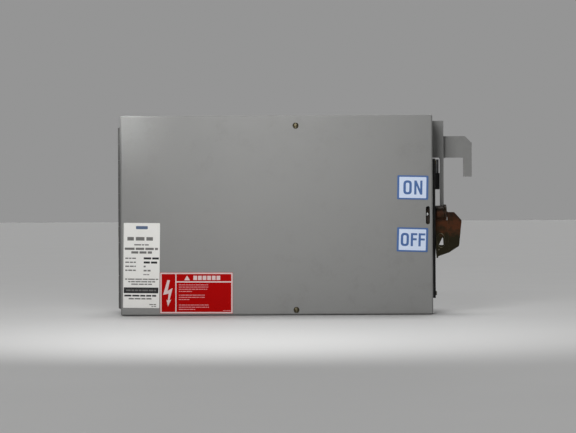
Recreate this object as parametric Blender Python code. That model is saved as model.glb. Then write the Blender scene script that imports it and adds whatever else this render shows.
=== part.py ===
"""Plug-in busway disconnect box with a circuit breaker and a side-mounted operating handle.

Frame: X to the right, -Y towards the person in front of the cover, +Z up, metres.
The origin is the centre of the case's bottom face, on which the box can stand.
"""

import math

import bmesh
import bpy
from mathutils import Vector

# ---------------------------------------------------------------- driving dimensions
GAP = 0.0003                # left between any two pieces that touch or fit together
SHEET = 0.0015              # case and cover sheet steel
BEND_R = 0.003              # outer radius of the folded edges

CASE_W = 0.500              # overall width of case and cover
CASE_H = 0.320              # overall height
CASE_D = 0.200              # cover front to case rear
COVER_D = 0.020             # depth of the cover pan
RETURN_FLANGE = 0.018       # inward flange round the case's front opening

HANDLE_SWING = math.radians(120.0)
HANDLE_WEB_X = (0.2563, 0.2588)
HUB_R = 0.0142
CRANK_R = 0.016             # shaft centre to crank pin
ECCENTRIC_R = 0.00577       # offset of the eccentric that lifts the interlock
SHAFT_R = 0.005
SHAFT_HOLE_R = 0.009        # in the case wall and the channel, round the bushing
GUARD_HOLE_R = 0.0031
HOOK_HOLE_R = 0.0028

HINGE_BARREL_R = 0.0024
HINGE_PIN_R = 0.0011
HINGE_BOTTOM_Z = 0.011
HINGE_TOP_Z = 0.302
HINGE_KNUCKLES = 11

BREAKER_W = 0.105
BREAKER_H = 0.152
POLE_PITCH = 0.035
STAB_PITCH = 0.030
CABLE_R = 0.0045

# ---------------------------------------------------------------- derived places
RIGHT_X = CASE_W / 2
LEFT_X = -RIGHT_X
FRONT_Y = -CASE_D / 2
REAR_Y = CASE_D / 2
SEAM_Y = FRONT_Y + COVER_D              # rim of the cover pan
CASE_FRONT_Y = SEAM_Y + GAP
COVER_BACK_Y = FRONT_Y + SHEET          # inner face of the cover's front sheet
MID_Z = CASE_H / 2

SHAFT_Y = -0.045
SHAFT_Z = MID_Z
HALF_SWING = HANDLE_SWING / 2
REST_ANGLE = HALF_SWING                 # the rest lever points this far below straight ahead
SLIDE_DROP = CRANK_R * math.sin(HALF_SWING)
INTERLOCK_DROP = ECCENTRIC_R * math.sin(HALF_SWING)
INTERLOCK_TRAVEL = 2 * INTERLOCK_DROP

HINGE_X = LEFT_X - GAP - HINGE_BARREL_R
HINGE_Y = SEAM_Y + GAP / 2

CHANNEL_WEB_X = (0.2540, 0.2560)        # outer plate of the side channel
CHANNEL_Y = (-0.075, 0.020)
CHANNEL_Z = (0.025, 0.250)

GUARD_Y = (-0.030, 0.030)
GUARD_Z = (0.2526, 0.3131)
GUARD_OUTER_X = 0.2733
GUARD_SHEET = 0.0025
STRIP_BOTTOM_Z = 0.172
STRIP_BACK_Y = 0.004
STRIP_LIP_X = 0.2671                    # inner edge of the strip's front lip

HOOK_Y = (-0.012, -0.008)
HOOK_X = (GUARD_OUTER_X + GAP, 0.3212)
HOOK_TOP_Z = 0.2885
HOOK_ARM_Z = 0.2531
HOOK_TIP_Z = 0.2218
HOOK_FINGER_X = 0.3072
HOOK_CHAMFER = 0.011
HOOK_BOLT_Y = 0.010
HOOK_BOLT_Z = (0.263, 0.279)
GUARD_BOLT_Y = 0.004
GUARD_BOLT_Z = (0.268, 0.298)

SLIDE_X = (0.2435, 0.2455)              # interlock slide, inside the right wall
CARRIER_Y = -0.018
ROD_X = 0.2625
ROD_R = 0.0037
ROD_Z = (0.214, 0.2501)

PAN_Y = (0.075, 0.077)
PAN_X = (-0.005, 0.166)
BREAKER_X = 0.070
BREAKER_REAR_Y = PAN_Y[0] - GAP
BREAKER_SPLIT_Y = 0.028
BREAKER_FACE_Y = -0.012
TOGGLE_Y = 0.008                        # the toggle's pivot
BRIDGE_Y = (-0.0225, -0.0205)
BRIDGE_RIGHT_X = (0.1265, 0.1285)
SLIDER_Y = (-0.0262, -0.0242)
SLIDER_MID_Z = SHAFT_Z - SLIDE_DROP
TOGGLE_HALF = math.atan(SLIDE_DROP / (TOGGLE_Y - sum(SLIDER_Y) / 2))
EAR_X = (0.1325, 0.1345)

STAB_X = -0.120
STAB_TOP_Z = 0.205
GROUND_HOLE_X = -0.1025
GROUND_HOLE_Y = 0.0910
GROUND_CABLE_R = 0.0030

BUTTON_X = BREAKER_X + 0.038            # push-to-trip button, below the operator bridge
BUTTON_Z = MID_Z - 0.050

SCREW_X = 0.031
SCREW_Z = (0.303, 0.0082)
SLOT_X = 0.242
SLOT_Z = MID_Z - 0.0015
SLOT_W = 0.0065
SLOT_H = 0.029

# ---------------------------------------------------------------- materials


def material(name, colour, roughness, metallic):
    made = bpy.data.materials.new(name)
    made.use_nodes = True
    shader = made.node_tree.nodes["Principled BSDF"]
    shader.inputs["Base Color"].default_value = (*colour, 1.0)
    shader.inputs["Roughness"].default_value = roughness
    shader.inputs["Metallic"].default_value = metallic
    return made


def finishes():
    return {
        "grey_paint": material("grey_paint", (0.25, 0.26, 0.27), 0.45, 0.0),
        "dark_steel": material("dark_steel", (0.045, 0.045, 0.05), 0.5, 0.6),
        "zinc_steel": material("zinc_steel", (0.62, 0.63, 0.64), 0.35, 1.0),
        "bronze_plate": material("bronze_plate", (0.16, 0.11, 0.05), 0.4, 0.8),
        "screw_steel": material("screw_steel", (0.30, 0.26, 0.18), 0.4, 1.0),
        "black_moulding": material("black_moulding", (0.02, 0.02, 0.022), 0.45, 0.0),
        "red_moulding": material("red_moulding", (0.35, 0.06, 0.04), 0.5, 0.0),
        "copper": material("copper", (0.72, 0.40, 0.25), 0.35, 1.0),
        "aluminium": material("aluminium", (0.75, 0.76, 0.77), 0.35, 1.0),
        "cable_black": material("cable_black", (0.015, 0.015, 0.015), 0.5, 0.0),
        "cable_green": material("cable_green", (0.02, 0.16, 0.05), 0.5, 0.0),
        "label_blue": material("label_blue", (0.10, 0.22, 0.50), 0.4, 0.0),
        "label_white": material("label_white", (0.80, 0.80, 0.78), 0.4, 0.0),
        "label_red": material("label_red", (0.55, 0.02, 0.03), 0.4, 0.0),
    }


# ---------------------------------------------------------------- modelling helpers


def clear_scene():
    for old in list(bpy.data.objects):
        bpy.data.objects.remove(old, do_unlink=True)


def new_object(name, bm, finish=None):
    bmesh.ops.recalc_face_normals(bm, faces=bm.faces)
    mesh = bpy.data.meshes.new(name)
    bm.to_mesh(mesh)
    bm.free()
    made = bpy.data.objects.new(name, mesh)
    bpy.context.scene.collection.objects.link(made)
    if finish:
        mesh.materials.append(finish)
    return made


def box_bm(low, high):
    bm = bmesh.new()
    bmesh.ops.create_cube(bm, size=1.0)
    centre = (Vector(low) + Vector(high)) / 2
    size = Vector(high) - Vector(low)
    for vertex in bm.verts:
        vertex.co = Vector(a * b for a, b in zip(vertex.co, size)) + centre
    return bm


def box(name, low, high, finish=None):
    return new_object(name, box_bm(low, high), finish)


def axis_point(axis, along, first, second):
    """A point at `along` on the axis; first and second are the other two, in X, Y, Z order."""
    if axis == "X":
        return Vector((along, first, second))
    if axis == "Y":
        return Vector((first, along, second))
    return Vector((first, second, along))


def prism_bm(outline, axis, start, end):
    """A closed outline extruded along an axis, from start to end."""
    bm = bmesh.new()
    lower = [bm.verts.new(axis_point(axis, start, a, b)) for a, b in outline]
    upper = [bm.verts.new(axis_point(axis, end, a, b)) for a, b in outline]
    bm.faces.new(lower)
    bm.faces.new(upper)
    count = len(outline)
    for i in range(count):
        j = (i + 1) % count
        bm.faces.new((lower[i], lower[j], upper[j], upper[i]))
    return bm


def prism(name, outline, axis, start, end, finish=None):
    return new_object(name, prism_bm(outline, axis, start, end), finish)


def circle(first, second, radius, segments=24, phase=0.0):
    steps = (2 * math.pi * i / segments + phase for i in range(segments))
    return [(first + radius * math.cos(a), second + radius * math.sin(a)) for a in steps]


def rounded(points, radius, segments=4, square=()):
    """The polygon with each corner replaced by an arc, apart from those numbered in square."""
    result = []
    count = len(points)
    for i in range(count):
        if i in square:
            result.append(points[i])
            continue
        corner = Vector(points[i])
        before = (Vector(points[i - 1]) - corner).normalized()
        after = (Vector(points[(i + 1) % count]) - corner).normalized()
        half = before.angle(after) / 2
        inset = radius / math.tan(half)
        start = corner + before * inset
        end = corner + after * inset
        centre = corner + (before + after).normalized() * (radius / math.sin(half))
        turn = (start - centre).angle_signed(end - centre)
        for step in range(segments + 1):
            angle = -turn * step / segments
            arm = start - centre
            cosine = math.cos(angle)
            sine = math.sin(angle)
            spun = Vector((arm.x * cosine - arm.y * sine, arm.x * sine + arm.y * cosine))
            result.append(tuple(centre + spun))
    return result


def rectangle(low, high):
    return [(low[0], low[1]), (high[0], low[1]), (high[0], high[1]), (low[0], high[1])]


def cylinder(name, axis, start, end, first, second, radius, finish=None, segments=24):
    made = prism(name, circle(first, second, radius, segments), axis, start, end, finish)
    smooth(made)
    return made


def smooth(made, angle=35.0):
    made.data.shade_smooth()
    made.data.set_sharp_from_angle(angle=math.radians(angle))


def boolean(target, cutter, operation):
    cutter.hide_render = True
    cutter.display_type = "WIRE"
    modifier = target.modifiers.new(operation.lower(), "BOOLEAN")
    modifier.operation = operation
    modifier.object = cutter


def cut(target, cutter):
    boolean(target, cutter, "DIFFERENCE")


def join(target, other):
    boolean(target, other, "UNION")


def bevel_box(name, low, high, radius, segments, keep, finish=None):
    """A box whose edges are rounded, apart from those that touch the planes named in keep."""
    bm = box_bm(low, high)
    planes = [("XYZ".index(axis), value) for axis, value in keep]
    edges = []
    for edge in bm.edges:
        on_plane = any(all(abs(v.co[i] - value) < 1e-6 for v in edge.verts) for i, value in planes)
        if not on_plane:
            edges.append(edge)
    bmesh.ops.bevel(bm, geom=edges, offset=radius, segments=segments, profile=0.5,
                    affect="EDGES", clamp_overlap=True)
    return new_object(name, bm, finish)


def joint_empty(name, place):
    made = bpy.data.objects.new(name, None)
    made.empty_display_size = 0.02
    made.location = place
    bpy.context.scene.collection.objects.link(made)
    return made


def hang_on(empty, pieces):
    """Parents pieces to a joint's empty without moving them."""
    for piece in pieces:
        piece.parent = empty
        piece.matrix_parent_inverse.translation = -empty.location


def turned_about_shaft(points, angle):
    """(y, z) points given for a lever that points straight ahead, -Y, swung down by angle."""
    cosine = math.cos(angle)
    sine = math.sin(angle)
    return [(SHAFT_Y + y * cosine - z * sine, SHAFT_Z + y * sine + z * cosine)
            for y, z in points]


# ---------------------------------------------------------------- case and cover


def enclosure_body(f):
    low = (LEFT_X, CASE_FRONT_Y, 0.0)
    high = (RIGHT_X, REAR_Y, CASE_H)
    body = bevel_box("enclosure_body", low, high, BEND_R, 3,
                     [("Y", CASE_FRONT_Y), ("Z", 0.0), ("Z", CASE_H), ("Y", REAR_Y)],
                     f["grey_paint"])
    cut(body, bevel_box("case_hollow", (LEFT_X + SHEET, CASE_FRONT_Y + SHEET, SHEET),
                        (RIGHT_X - SHEET, REAR_Y - SHEET, CASE_H - SHEET), BEND_R - SHEET, 3,
                        [("Y", CASE_FRONT_Y + SHEET), ("Z", SHEET), ("Z", CASE_H - SHEET),
                         ("Y", REAR_Y - SHEET)]))
    inset = RETURN_FLANGE + SHEET
    opening = rounded(rectangle((LEFT_X + inset, inset), (RIGHT_X - inset, CASE_H - inset)), 0.006)
    cut(body, prism("front_opening", opening, "Y", CASE_FRONT_Y - 0.01, CASE_FRONT_Y + 0.01))
    cut(body, box("latch_notch", (RIGHT_X - inset - 0.005, CASE_FRONT_Y - 0.005, 0.134),
                  (RIGHT_X - SHEET, CASE_FRONT_Y + 0.01, 0.192)))
    stab_window = rounded(rectangle((STAB_X - 0.055, 0.093), (STAB_X + 0.055, 0.227)), 0.004)
    cut(body, prism("stab_window", stab_window, "Y", REAR_Y - 0.01, REAR_Y + 0.01))
    cut(body, cylinder("shaft_hole", "X", RIGHT_X - 0.01, RIGHT_X + 0.01, SHAFT_Y, SHAFT_Z,
                       SHAFT_HOLE_R))
    cut(body, carrier_slot("case_carrier_slot", RIGHT_X - 0.006, RIGHT_X + 0.003))
    for i, z in enumerate(SCREW_Z):
        cut(body, cylinder(f"case_screw_hole_{i}", "Y", CASE_FRONT_Y - 0.01, CASE_FRONT_Y + 0.01,
                           SCREW_X, z, 0.0036, segments=16))
    for i, z in enumerate(GUARD_BOLT_Z):
        cut(body, cylinder(f"case_guard_hole_{i}", "X", RIGHT_X - 0.01, RIGHT_X + 0.01,
                           GUARD_BOLT_Y, z, GUARD_HOLE_R, segments=16))
    smooth(body, 25.0)
    return body


def carrier_slot(name, start, end):
    """The upright slot through which the interlock carrier reaches the slide."""
    low = (CARRIER_Y - 0.0045, 0.2090)
    high = (CARRIER_Y + 0.0045, 0.2190 + INTERLOCK_TRAVEL)
    return prism(name, rounded(rectangle(low, high), 0.001, 2), "X", start, end)


def front_cover(f):
    low = (LEFT_X, FRONT_Y, GAP)
    high = (RIGHT_X, SEAM_Y, CASE_H)
    cover = bevel_box("front_cover", low, high, BEND_R, 4, [("Y", SEAM_Y)], f["grey_paint"])
    cut(cover, bevel_box("cover_hollow", (LEFT_X + SHEET, COVER_BACK_Y, GAP + SHEET),
                         (RIGHT_X - SHEET, SEAM_Y + 0.01, CASE_H - SHEET), BEND_R - SHEET, 4,
                         [("Y", SEAM_Y + 0.01)]))
    slot = rounded(rectangle((SLOT_X - SLOT_W / 2, SLOT_Z - SLOT_H / 2),
                             (SLOT_X + SLOT_W / 2, SLOT_Z + SLOT_H / 2)), SLOT_W / 2 - 1e-4, 5)
    cut(cover, prism("cover_slot", slot, "Y", FRONT_Y - 0.01, FRONT_Y + 0.01))
    for i, z in enumerate(SCREW_Z):
        cut(cover, cylinder(f"cover_screw_hole_{i}", "Y", FRONT_Y - 0.01, FRONT_Y + 0.01,
                            SCREW_X, z, 0.0029, segments=16))
    smooth(cover, 25.0)
    return cover


def cover_catch(f):
    """A Z-shaped catch welded inside the cover; the raised slide blocks its lip."""
    weld_y = COVER_BACK_Y + GAP
    outline = [(weld_y, 0.1815), (weld_y, 0.1950), (weld_y + SHEET, 0.1950),
               (weld_y + SHEET, 0.1830), (-0.0845, 0.1830), (-0.0845, 0.1720),
               (-0.0860, 0.1720), (-0.0860, 0.1815)]
    return prism("cover_catch", outline, "X", 0.232, SLIDE_X[0] - 2 * GAP, f["zinc_steel"])


def cover_screw(name, z, f):
    """A slotted screw with a round head, turned about its own axis, and a cut slot."""
    shank_r = 0.0025
    head_r = 0.0047
    head_y = FRONT_Y - GAP
    profile = [(0.0, head_y - 0.0026), (0.0022, head_y - 0.0025), (0.0038, head_y - 0.0019),
               (head_r, head_y - 0.0009), (head_r, head_y), (shank_r, head_y),
               (shank_r, -0.0700), (0.0018, -0.0680), (0.0, -0.0680)]
    screw = turned(name, profile, (SCREW_X, z), f["screw_steel"], 24)
    cut(screw, box(name + "_slot", (SCREW_X - 0.0005, head_y - 0.004, z - 0.006),
                   (SCREW_X + 0.0005, head_y - 0.0012, z + 0.006)))
    return screw


def turned(name, profile, centre, finish, segments):
    """A solid turned about the Y direction: profile is (radius, y) from front to back."""
    bm = bmesh.new()
    rings = []
    for radius, y in profile:
        if radius == 0.0:
            rings.append([bm.verts.new((centre[0], y, centre[1]))])
            continue
        points = circle(centre[0], centre[1], radius, segments)
        rings.append([bm.verts.new((a, y, b)) for a, b in points])
    for near, far in zip(rings, rings[1:]):
        for i in range(segments):
            j = (i + 1) % segments
            if len(near) == 1:
                bm.faces.new((near[0], far[i], far[j]))
            elif len(far) == 1:
                bm.faces.new((near[i], near[j], far[0]))
            else:
                bm.faces.new((near[i], near[j], far[j], far[i]))
    made = new_object(name, bm, finish)
    smooth(made)
    return made


def cover_nut(name, z, f):
    """A square clip nut behind the case's return flange."""
    y = CASE_FRONT_Y + SHEET + GAP
    half = 0.0055
    nut = prism(name, rounded(rectangle((SCREW_X - half, z - half), (SCREW_X + half, z + half)),
                              0.001, 2), "Y", y, y + 0.0045, f["zinc_steel"])
    cut(nut, cylinder(name + "_bore", "Y", y - 0.01, y + 0.02, SCREW_X, z, 0.0031, segments=16))
    return nut


def label(name, centre_x, centre_z, width, height, tilt_deg, finish):
    """A thin stuck-on plate just proud of the cover, turned clockwise by tilt_deg."""
    turn = math.radians(-tilt_deg)
    corners = rounded(rectangle((-width / 2, -height / 2), (width / 2, height / 2)), 0.0012, 2)
    outline = [(centre_x + a * math.cos(turn) - b * math.sin(turn),
                centre_z + a * math.sin(turn) + b * math.cos(turn)) for a, b in corners]
    return prism(name, outline, "Y", FRONT_Y - GAP - 0.0004, FRONT_Y - GAP, finish)


def labels(f):
    return [
        label("on_label", 0.2180, MID_Z + 0.0430, 0.0496, 0.0384, 1.2, f["label_blue"]),
        label("off_label", 0.2170, MID_Z - 0.0405, 0.0496, 0.0385, 1.8, f["label_blue"]),
        label("nameplate", -0.2165, MID_Z - 0.0795, 0.0580, 0.1360, 0.8, f["label_white"]),
        label("safety_label", -0.12885, MID_Z - 0.1240, 0.1167, 0.0660, 0.3, f["label_red"]),
    ]


# ---------------------------------------------------------------- continuous hinge


def hinge_leaf(name, plate_low, plate_high, odd, f):
    """A flat leaf with every second knuckle of the barrel; odd picks which knuckles."""
    leaf = box(name, plate_low, plate_high, f["grey_paint"])
    pitch = (HINGE_TOP_Z - HINGE_BOTTOM_Z) / HINGE_KNUCKLES
    for i in range(HINGE_KNUCKLES):
        start = HINGE_BOTTOM_Z + i * pitch + GAP / 2
        end = start + pitch - GAP
        if i % 2 == odd:
            knuckle = cylinder(f"{name}_knuckle_{i}", "Z", start, end, HINGE_X, HINGE_Y,
                               HINGE_BARREL_R, segments=16)
            join(leaf, knuckle)
        else:
            clear = HINGE_BARREL_R + GAP
            cut(leaf, box(f"{name}_gap_{i}", (HINGE_X - 0.01, HINGE_Y - clear, start - GAP),
                          (LEFT_X + 0.001, HINGE_Y + clear, end + GAP)))
    cut(leaf, cylinder(name + "_bore", "Z", HINGE_BOTTOM_Z - 0.01, HINGE_TOP_Z + 0.01,
                       HINGE_X, HINGE_Y, HINGE_PIN_R + GAP, segments=12))
    smooth(leaf)
    return leaf


def hinge(f):
    leaf_x = (LEFT_X - GAP - 0.0011, LEFT_X - GAP)
    case_leaf = hinge_leaf("hinge_leaf_case", (leaf_x[0], HINGE_Y + 0.0012, HINGE_BOTTOM_Z),
                           (leaf_x[1], HINGE_Y + 0.019, HINGE_TOP_Z), 0, f)
    cover_leaf = hinge_leaf("hinge_leaf_cover", (leaf_x[0], HINGE_Y - 0.0155, HINGE_BOTTOM_Z),
                            (leaf_x[1], HINGE_Y - 0.0012, HINGE_TOP_Z), 1, f)
    pin = cylinder("hinge_pin", "Z", HINGE_BOTTOM_Z - 0.0005, HINGE_TOP_Z + 0.0005,
                   HINGE_X, HINGE_Y, HINGE_PIN_R, f["zinc_steel"], 12)
    return case_leaf, cover_leaf, pin


# ---------------------------------------------------------------- right-hand side, outside


def mechanism_channel(f):
    inner = RIGHT_X + GAP
    back, front = CHANNEL_Y[1], CHANNEL_Y[0]
    web_in, web_out = CHANNEL_WEB_X
    wall = web_out - web_in
    outline = [(inner, front), (web_out, front), (web_out, back), (inner, back),
               (inner, back - wall), (web_in, back - wall), (web_in, front + wall),
               (inner, front + wall)]
    channel = prism("mechanism_channel", outline, "Z", *CHANNEL_Z, f["dark_steel"])
    cut(channel, cylinder("channel_shaft_hole", "X", 0.24, 0.27, SHAFT_Y, SHAFT_Z,
                          SHAFT_HOLE_R))
    cut(channel, carrier_slot("channel_carrier_slot", web_in - 0.001, web_out + 0.001))
    return channel


def guard_bracket(f):
    foot = RIGHT_X + GAP
    front, back = GUARD_Y
    inner = GUARD_OUTER_X - GUARD_SHEET
    outline = [(foot, front), (GUARD_OUTER_X, front), (GUARD_OUTER_X, back), (inner, back),
               (inner, front + GUARD_SHEET), (foot + GUARD_SHEET, front + GUARD_SHEET),
               (foot + GUARD_SHEET, back - 0.008), (foot, back - 0.008)]
    bracket = prism("guard_bracket", outline, "Z", *GUARD_Z, f["grey_paint"])
    strip_top = GUARD_Z[0] + 0.02
    join(bracket, box("guard_strip", (inner, front, STRIP_BOTTOM_Z),
                      (GUARD_OUTER_X, STRIP_BACK_Y, strip_top)))
    join(bracket, box("guard_strip_lip", (STRIP_LIP_X, front, STRIP_BOTTOM_Z),
                      (inner + 0.001, front + GUARD_SHEET, strip_top)))
    for i, z in enumerate(GUARD_BOLT_Z):
        cut(bracket, cylinder(f"guard_hole_{i}", "X", foot - 0.004, foot + 0.008,
                              GUARD_BOLT_Y, z, GUARD_HOLE_R, segments=16))
    for i, z in enumerate(HOOK_BOLT_Z):
        cut(bracket, cylinder(f"guard_hook_hole_{i}", "X", inner - 0.004, GUARD_OUTER_X + 0.004,
                              HOOK_BOLT_Y, z, HOOK_HOLE_R, segments=16))
    return bracket


def hanger_hook(f):
    """A flat hook facing the front, with a foot folded back against the guard bracket."""
    left, right = HOOK_X
    arm = [(left, HOOK_ARM_Z), (HOOK_FINGER_X, HOOK_ARM_Z), (HOOK_FINGER_X, HOOK_TIP_Z),
           (right, HOOK_TIP_Z), (right, HOOK_TOP_Z - HOOK_CHAMFER),
           (right - HOOK_CHAMFER, HOOK_TOP_Z), (left, HOOK_TOP_Z)]
    hook = prism("hanger_hook", arm, "Y", *HOOK_Y, f["grey_paint"])
    thick = HOOK_Y[1] - HOOK_Y[0]
    join(hook, box("hook_foot", (left, HOOK_Y[0] + 0.001, HOOK_ARM_Z),
                   (left + thick, 0.020, HOOK_TOP_Z)))
    for i, z in enumerate(HOOK_BOLT_Z):
        cut(hook, cylinder(f"hook_hole_{i}", "X", left - 0.004, left + thick + 0.004,
                           HOOK_BOLT_Y, z, HOOK_HOLE_R, segments=16))
    return hook


def bolt(name, head_x, head_h, tip_x, y, z, shank_r, finish):
    """A hex-headed bolt along X: the head stands from head_x to head_x + head_h."""
    head = prism(name, circle(y, z, shank_r * 2.0, 6), "X", head_x, head_x + head_h, finish)
    join(head, cylinder(name + "_shank", "X", tip_x, head_x + head_h / 2, y, z, shank_r,
                        segments=16))
    return head


def bolts(f):
    guard_head_x = RIGHT_X + GUARD_SHEET + 2 * GAP
    hook_head_x = HOOK_X[0] + (HOOK_Y[1] - HOOK_Y[0]) + GAP
    made = []
    for kind, places, y, head_x, shank_r, tip_x in (
            ("guard_bolt", GUARD_BOLT_Z, GUARD_BOLT_Y, guard_head_x, 0.0028, 0.2420),
            ("hook_bolt", HOOK_BOLT_Z, HOOK_BOLT_Y, hook_head_x, 0.0025, 0.2640)):
        for where, z in zip(("lower", "upper"), places):
            made.append(bolt(f"{kind}_{where}", head_x, 0.0035, tip_x, y, z, shank_r,
                             f["zinc_steel"]))
    return made


# ---------------------------------------------------------------- handle and shaft


def lever_plate(name, outline, start, end):
    """A plate on the resting lever: outline is (x, distance along it), start and end across it."""
    bm = bmesh.new()
    rings = []
    for across in (start, end):
        ring = []
        for x, along in outline:
            (y, z), = turned_about_shaft([(-along, across)], REST_ANGLE)
            ring.append(bm.verts.new((x, y, z)))
        bm.faces.new(ring)
        rings.append(ring)
    near, far = rings
    for i in range(len(outline)):
        j = (i + 1) % len(outline)
        bm.faces.new((near[i], near[j], far[j], far[i]))
    return new_object(name, bm)


def operating_handle(f):
    """A pressed lever: a hub web beside the case and a paddle that stands out from it."""
    left = HANDLE_WEB_X[0]
    paddle = (0.0080, 0.0105)           # across the lever, on its leading side
    reach = 0.0837
    fold_x = 0.2765                     # where the paddle's wide part starts
    edge_x = 0.2932                     # its outer edge at the far end
    # lever frame before it is swung: y = -distance along the lever, z = across it
    hub = [(HUB_R * math.cos(a), HUB_R * math.sin(a))
           for a in (math.radians(d) for d in range(-90, 61, 15))]
    web = hub + [(-0.004, paddle[1]), (-reach, paddle[1]), (-reach, 0.0045),
                 (-0.060, -0.0050), (-0.030, -0.0120)]
    handle = prism("operating_handle", turned_about_shaft(web, REST_ANGLE), "X",
                   *HANDLE_WEB_X, f["bronze_plate"])
    corners = [(fold_x, 0.0020), (0.2880, 0.0020), (0.2994, 0.0175), (edge_x, 0.0640),
               (fold_x, 0.0757), (left, reach), (left, 0.0170), (fold_x, 0.0170)]
    outline = rounded(corners, 0.0030, 3, square=(0, 5, 6, 7))
    join(handle, lever_plate("handle_paddle", outline, *paddle))
    # stiffening flange folded back along the paddle's outer edge
    flange = turned_about_shaft([(-0.024, paddle[1] - 0.001), (-0.024, -0.0020),
                                 (-0.029, -0.0050), (-0.052, -0.0050), (-0.058, -0.0010),
                                 (-0.058, paddle[1] - 0.001)], REST_ANGLE)
    join(handle, prism("handle_flange", flange, "X", edge_x - 0.0024, edge_x))
    # three-cornered hole for a hook stick or a padlock
    hole = rounded([(0.2602, 0.0630), (0.2680, 0.0630), (0.2680, 0.0460)], 0.0007, 2)
    cut(handle, lever_plate("handle_hole", hole, paddle[0] - 0.006, paddle[1] + 0.006))
    cut(handle, cylinder("handle_bore", "X", 0.25, 0.27, SHAFT_Y, SHAFT_Z, SHAFT_R + GAP))
    smooth(handle, 25.0)
    return handle


def ring(name, start, end, outer, finish, bore=SHAFT_R + GAP, segments=32):
    """A collar on the handle shaft."""
    made = cylinder(name, "X", start, end, SHAFT_Y, SHAFT_Z, outer, finish, segments)
    cut(made, cylinder(name + "_bore", "X", start - 0.01, end + 0.01, SHAFT_Y, SHAFT_Z, bore))
    return made


def handle_hub(f):
    return ring("handle_hub", HANDLE_WEB_X[1] + GAP, 0.2716, HUB_R, f["bronze_plate"])


def handle_washer(f):
    return ring("handle_washer", 0.2719, 0.2757, 0.0160, f["bronze_plate"])


def handle_shaft(f):
    return cylinder("handle_shaft", "X", 0.1355, 0.2768, SHAFT_Y, SHAFT_Z, SHAFT_R,
                    f["zinc_steel"])


def shaft_bushing(f):
    inner = 0.2468
    bushing = ring("shaft_bushing", inner, HANDLE_WEB_X[0] - GAP, SHAFT_HOLE_R - GAP,
                   f["zinc_steel"])
    join(bushing, ring("bushing_flange", inner, RIGHT_X - SHEET - GAP, 0.0115, None))
    return bushing


def crank_arm(f):
    """The inner crank: a short arm on the end of the shaft, parallel to the handle."""
    big = 0.0090
    small = 0.0065
    steps = 8
    outline = [(big * math.cos(a), big * math.sin(a))
               for a in (math.radians(-90 + 180 * i / steps) for i in range(steps + 1))]
    outline += [(-CRANK_R + small * math.cos(a), small * math.sin(a))
                for a in (math.radians(90 + 180 * i / steps) for i in range(steps + 1))]
    arm = prism("crank_arm", turned_about_shaft(outline, REST_ANGLE), "X", 0.1365, 0.1395,
                f["zinc_steel"])
    cut(arm, cylinder("crank_bore", "X", 0.13, 0.145, SHAFT_Y, SHAFT_Z, SHAFT_R + GAP))
    (y, z), = turned_about_shaft([(-CRANK_R, 0.0)], REST_ANGLE)
    cut(arm, cylinder("crank_pin_bore", "X", 0.13, 0.145, y, z, 0.003 + GAP, segments=16))
    return arm


def crank_pin(f):
    (y, z), = turned_about_shaft([(-CRANK_R, 0.0)], REST_ANGLE)
    return cylinder("crank_pin", "X", 0.1300, 0.1405, y, z, 0.003, f["zinc_steel"], 16)


def shaft_bearing_bracket(f):
    """A Z-shaped bracket on the bridge's side, with the shaft's inner bearing hole."""
    foot_x = BRIDGE_RIGHT_X[1] + GAP
    outline = [(0.150, -0.058), (0.153, -0.058), (0.153, -0.007), (foot_x + 0.003, -0.007),
               (foot_x + 0.003, 0.015), (foot_x, 0.015), (foot_x, -0.010), (0.150, -0.010)]
    bracket = prism("shaft_bearing_bracket", outline, "Z", 0.150, 0.170, f["zinc_steel"])
    cut(bracket, cylinder("bearing_hole", "X", 0.14, 0.16, SHAFT_Y, SHAFT_Z, SHAFT_R + GAP))
    return bracket


# ---------------------------------------------------------------- interlock


def interlock_eccentric(f):
    (y, z), = turned_about_shaft([(-ECCENTRIC_R, 0.0)], REST_ANGLE)
    disc = cylinder("interlock_eccentric", "X", 0.2424, 0.2464, y, z, 0.0115, f["zinc_steel"], 32)
    cut(disc, cylinder("eccentric_bore", "X", 0.23, 0.26, SHAFT_Y, SHAFT_Z, SHAFT_R + GAP))
    return disc


def interlock_slide(f):
    """An upright sheet slide: a window for the eccentric and a front tab behind the cover slot."""
    tab_y = (-0.0910, -0.0890)
    plate = [(-0.0700, 0.130), (0.000, 0.130), (0.000, 0.226), (-0.0700, 0.226)]
    slide = prism("interlock_slide", plate, "X", *SLIDE_X, f["bronze_plate"])
    tab = [(SLIDE_X[1], -0.065), (SLIDE_X[0], -0.065), (SLIDE_X[0], tab_y[1]),
           (0.2370, tab_y[1]), (0.2370, tab_y[0]), (SLIDE_X[1], tab_y[0])]
    join(slide, prism("slide_tab", tab, "Z", 0.1400, 0.1697))
    window = (-0.0632, SHAFT_Z - INTERLOCK_DROP - 0.0121)
    window_end = (-0.0355, SHAFT_Z - INTERLOCK_DROP + 0.0121)
    cut(slide, box("slide_window", (0.24, window[0], window[1]),
                   (0.25, window_end[0], window_end[1])))
    for i, (y, z) in enumerate(interlock_studs_at()):
        low = (y - 0.0034, z - INTERLOCK_TRAVEL - 0.0036)
        high = (y + 0.0034, z + 0.0036)
        cut(slide, prism(f"slide_slot_{i}", rounded(rectangle(low, high), 0.0030, 3), "X",
                         0.24, 0.25))
    return slide


def interlock_studs_at():
    return [(-0.012, 0.150), (-0.055, 0.212)]


def interlock_studs(f):
    made = []
    for name, (y, z) in zip(("lower", "upper"), interlock_studs_at()):
        stud = cylinder(f"interlock_stud_{name}", "X", 0.2415, SLIDE_X[0] - GAP, y, z, 0.0055,
                        f["zinc_steel"], 16)
        join(stud, cylinder(f"interlock_shank_{name}", "X", 0.2425,
                            RIGHT_X - SHEET - GAP, y, z, 0.0030, segments=16))
        made.append(stud)
    return made


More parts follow.
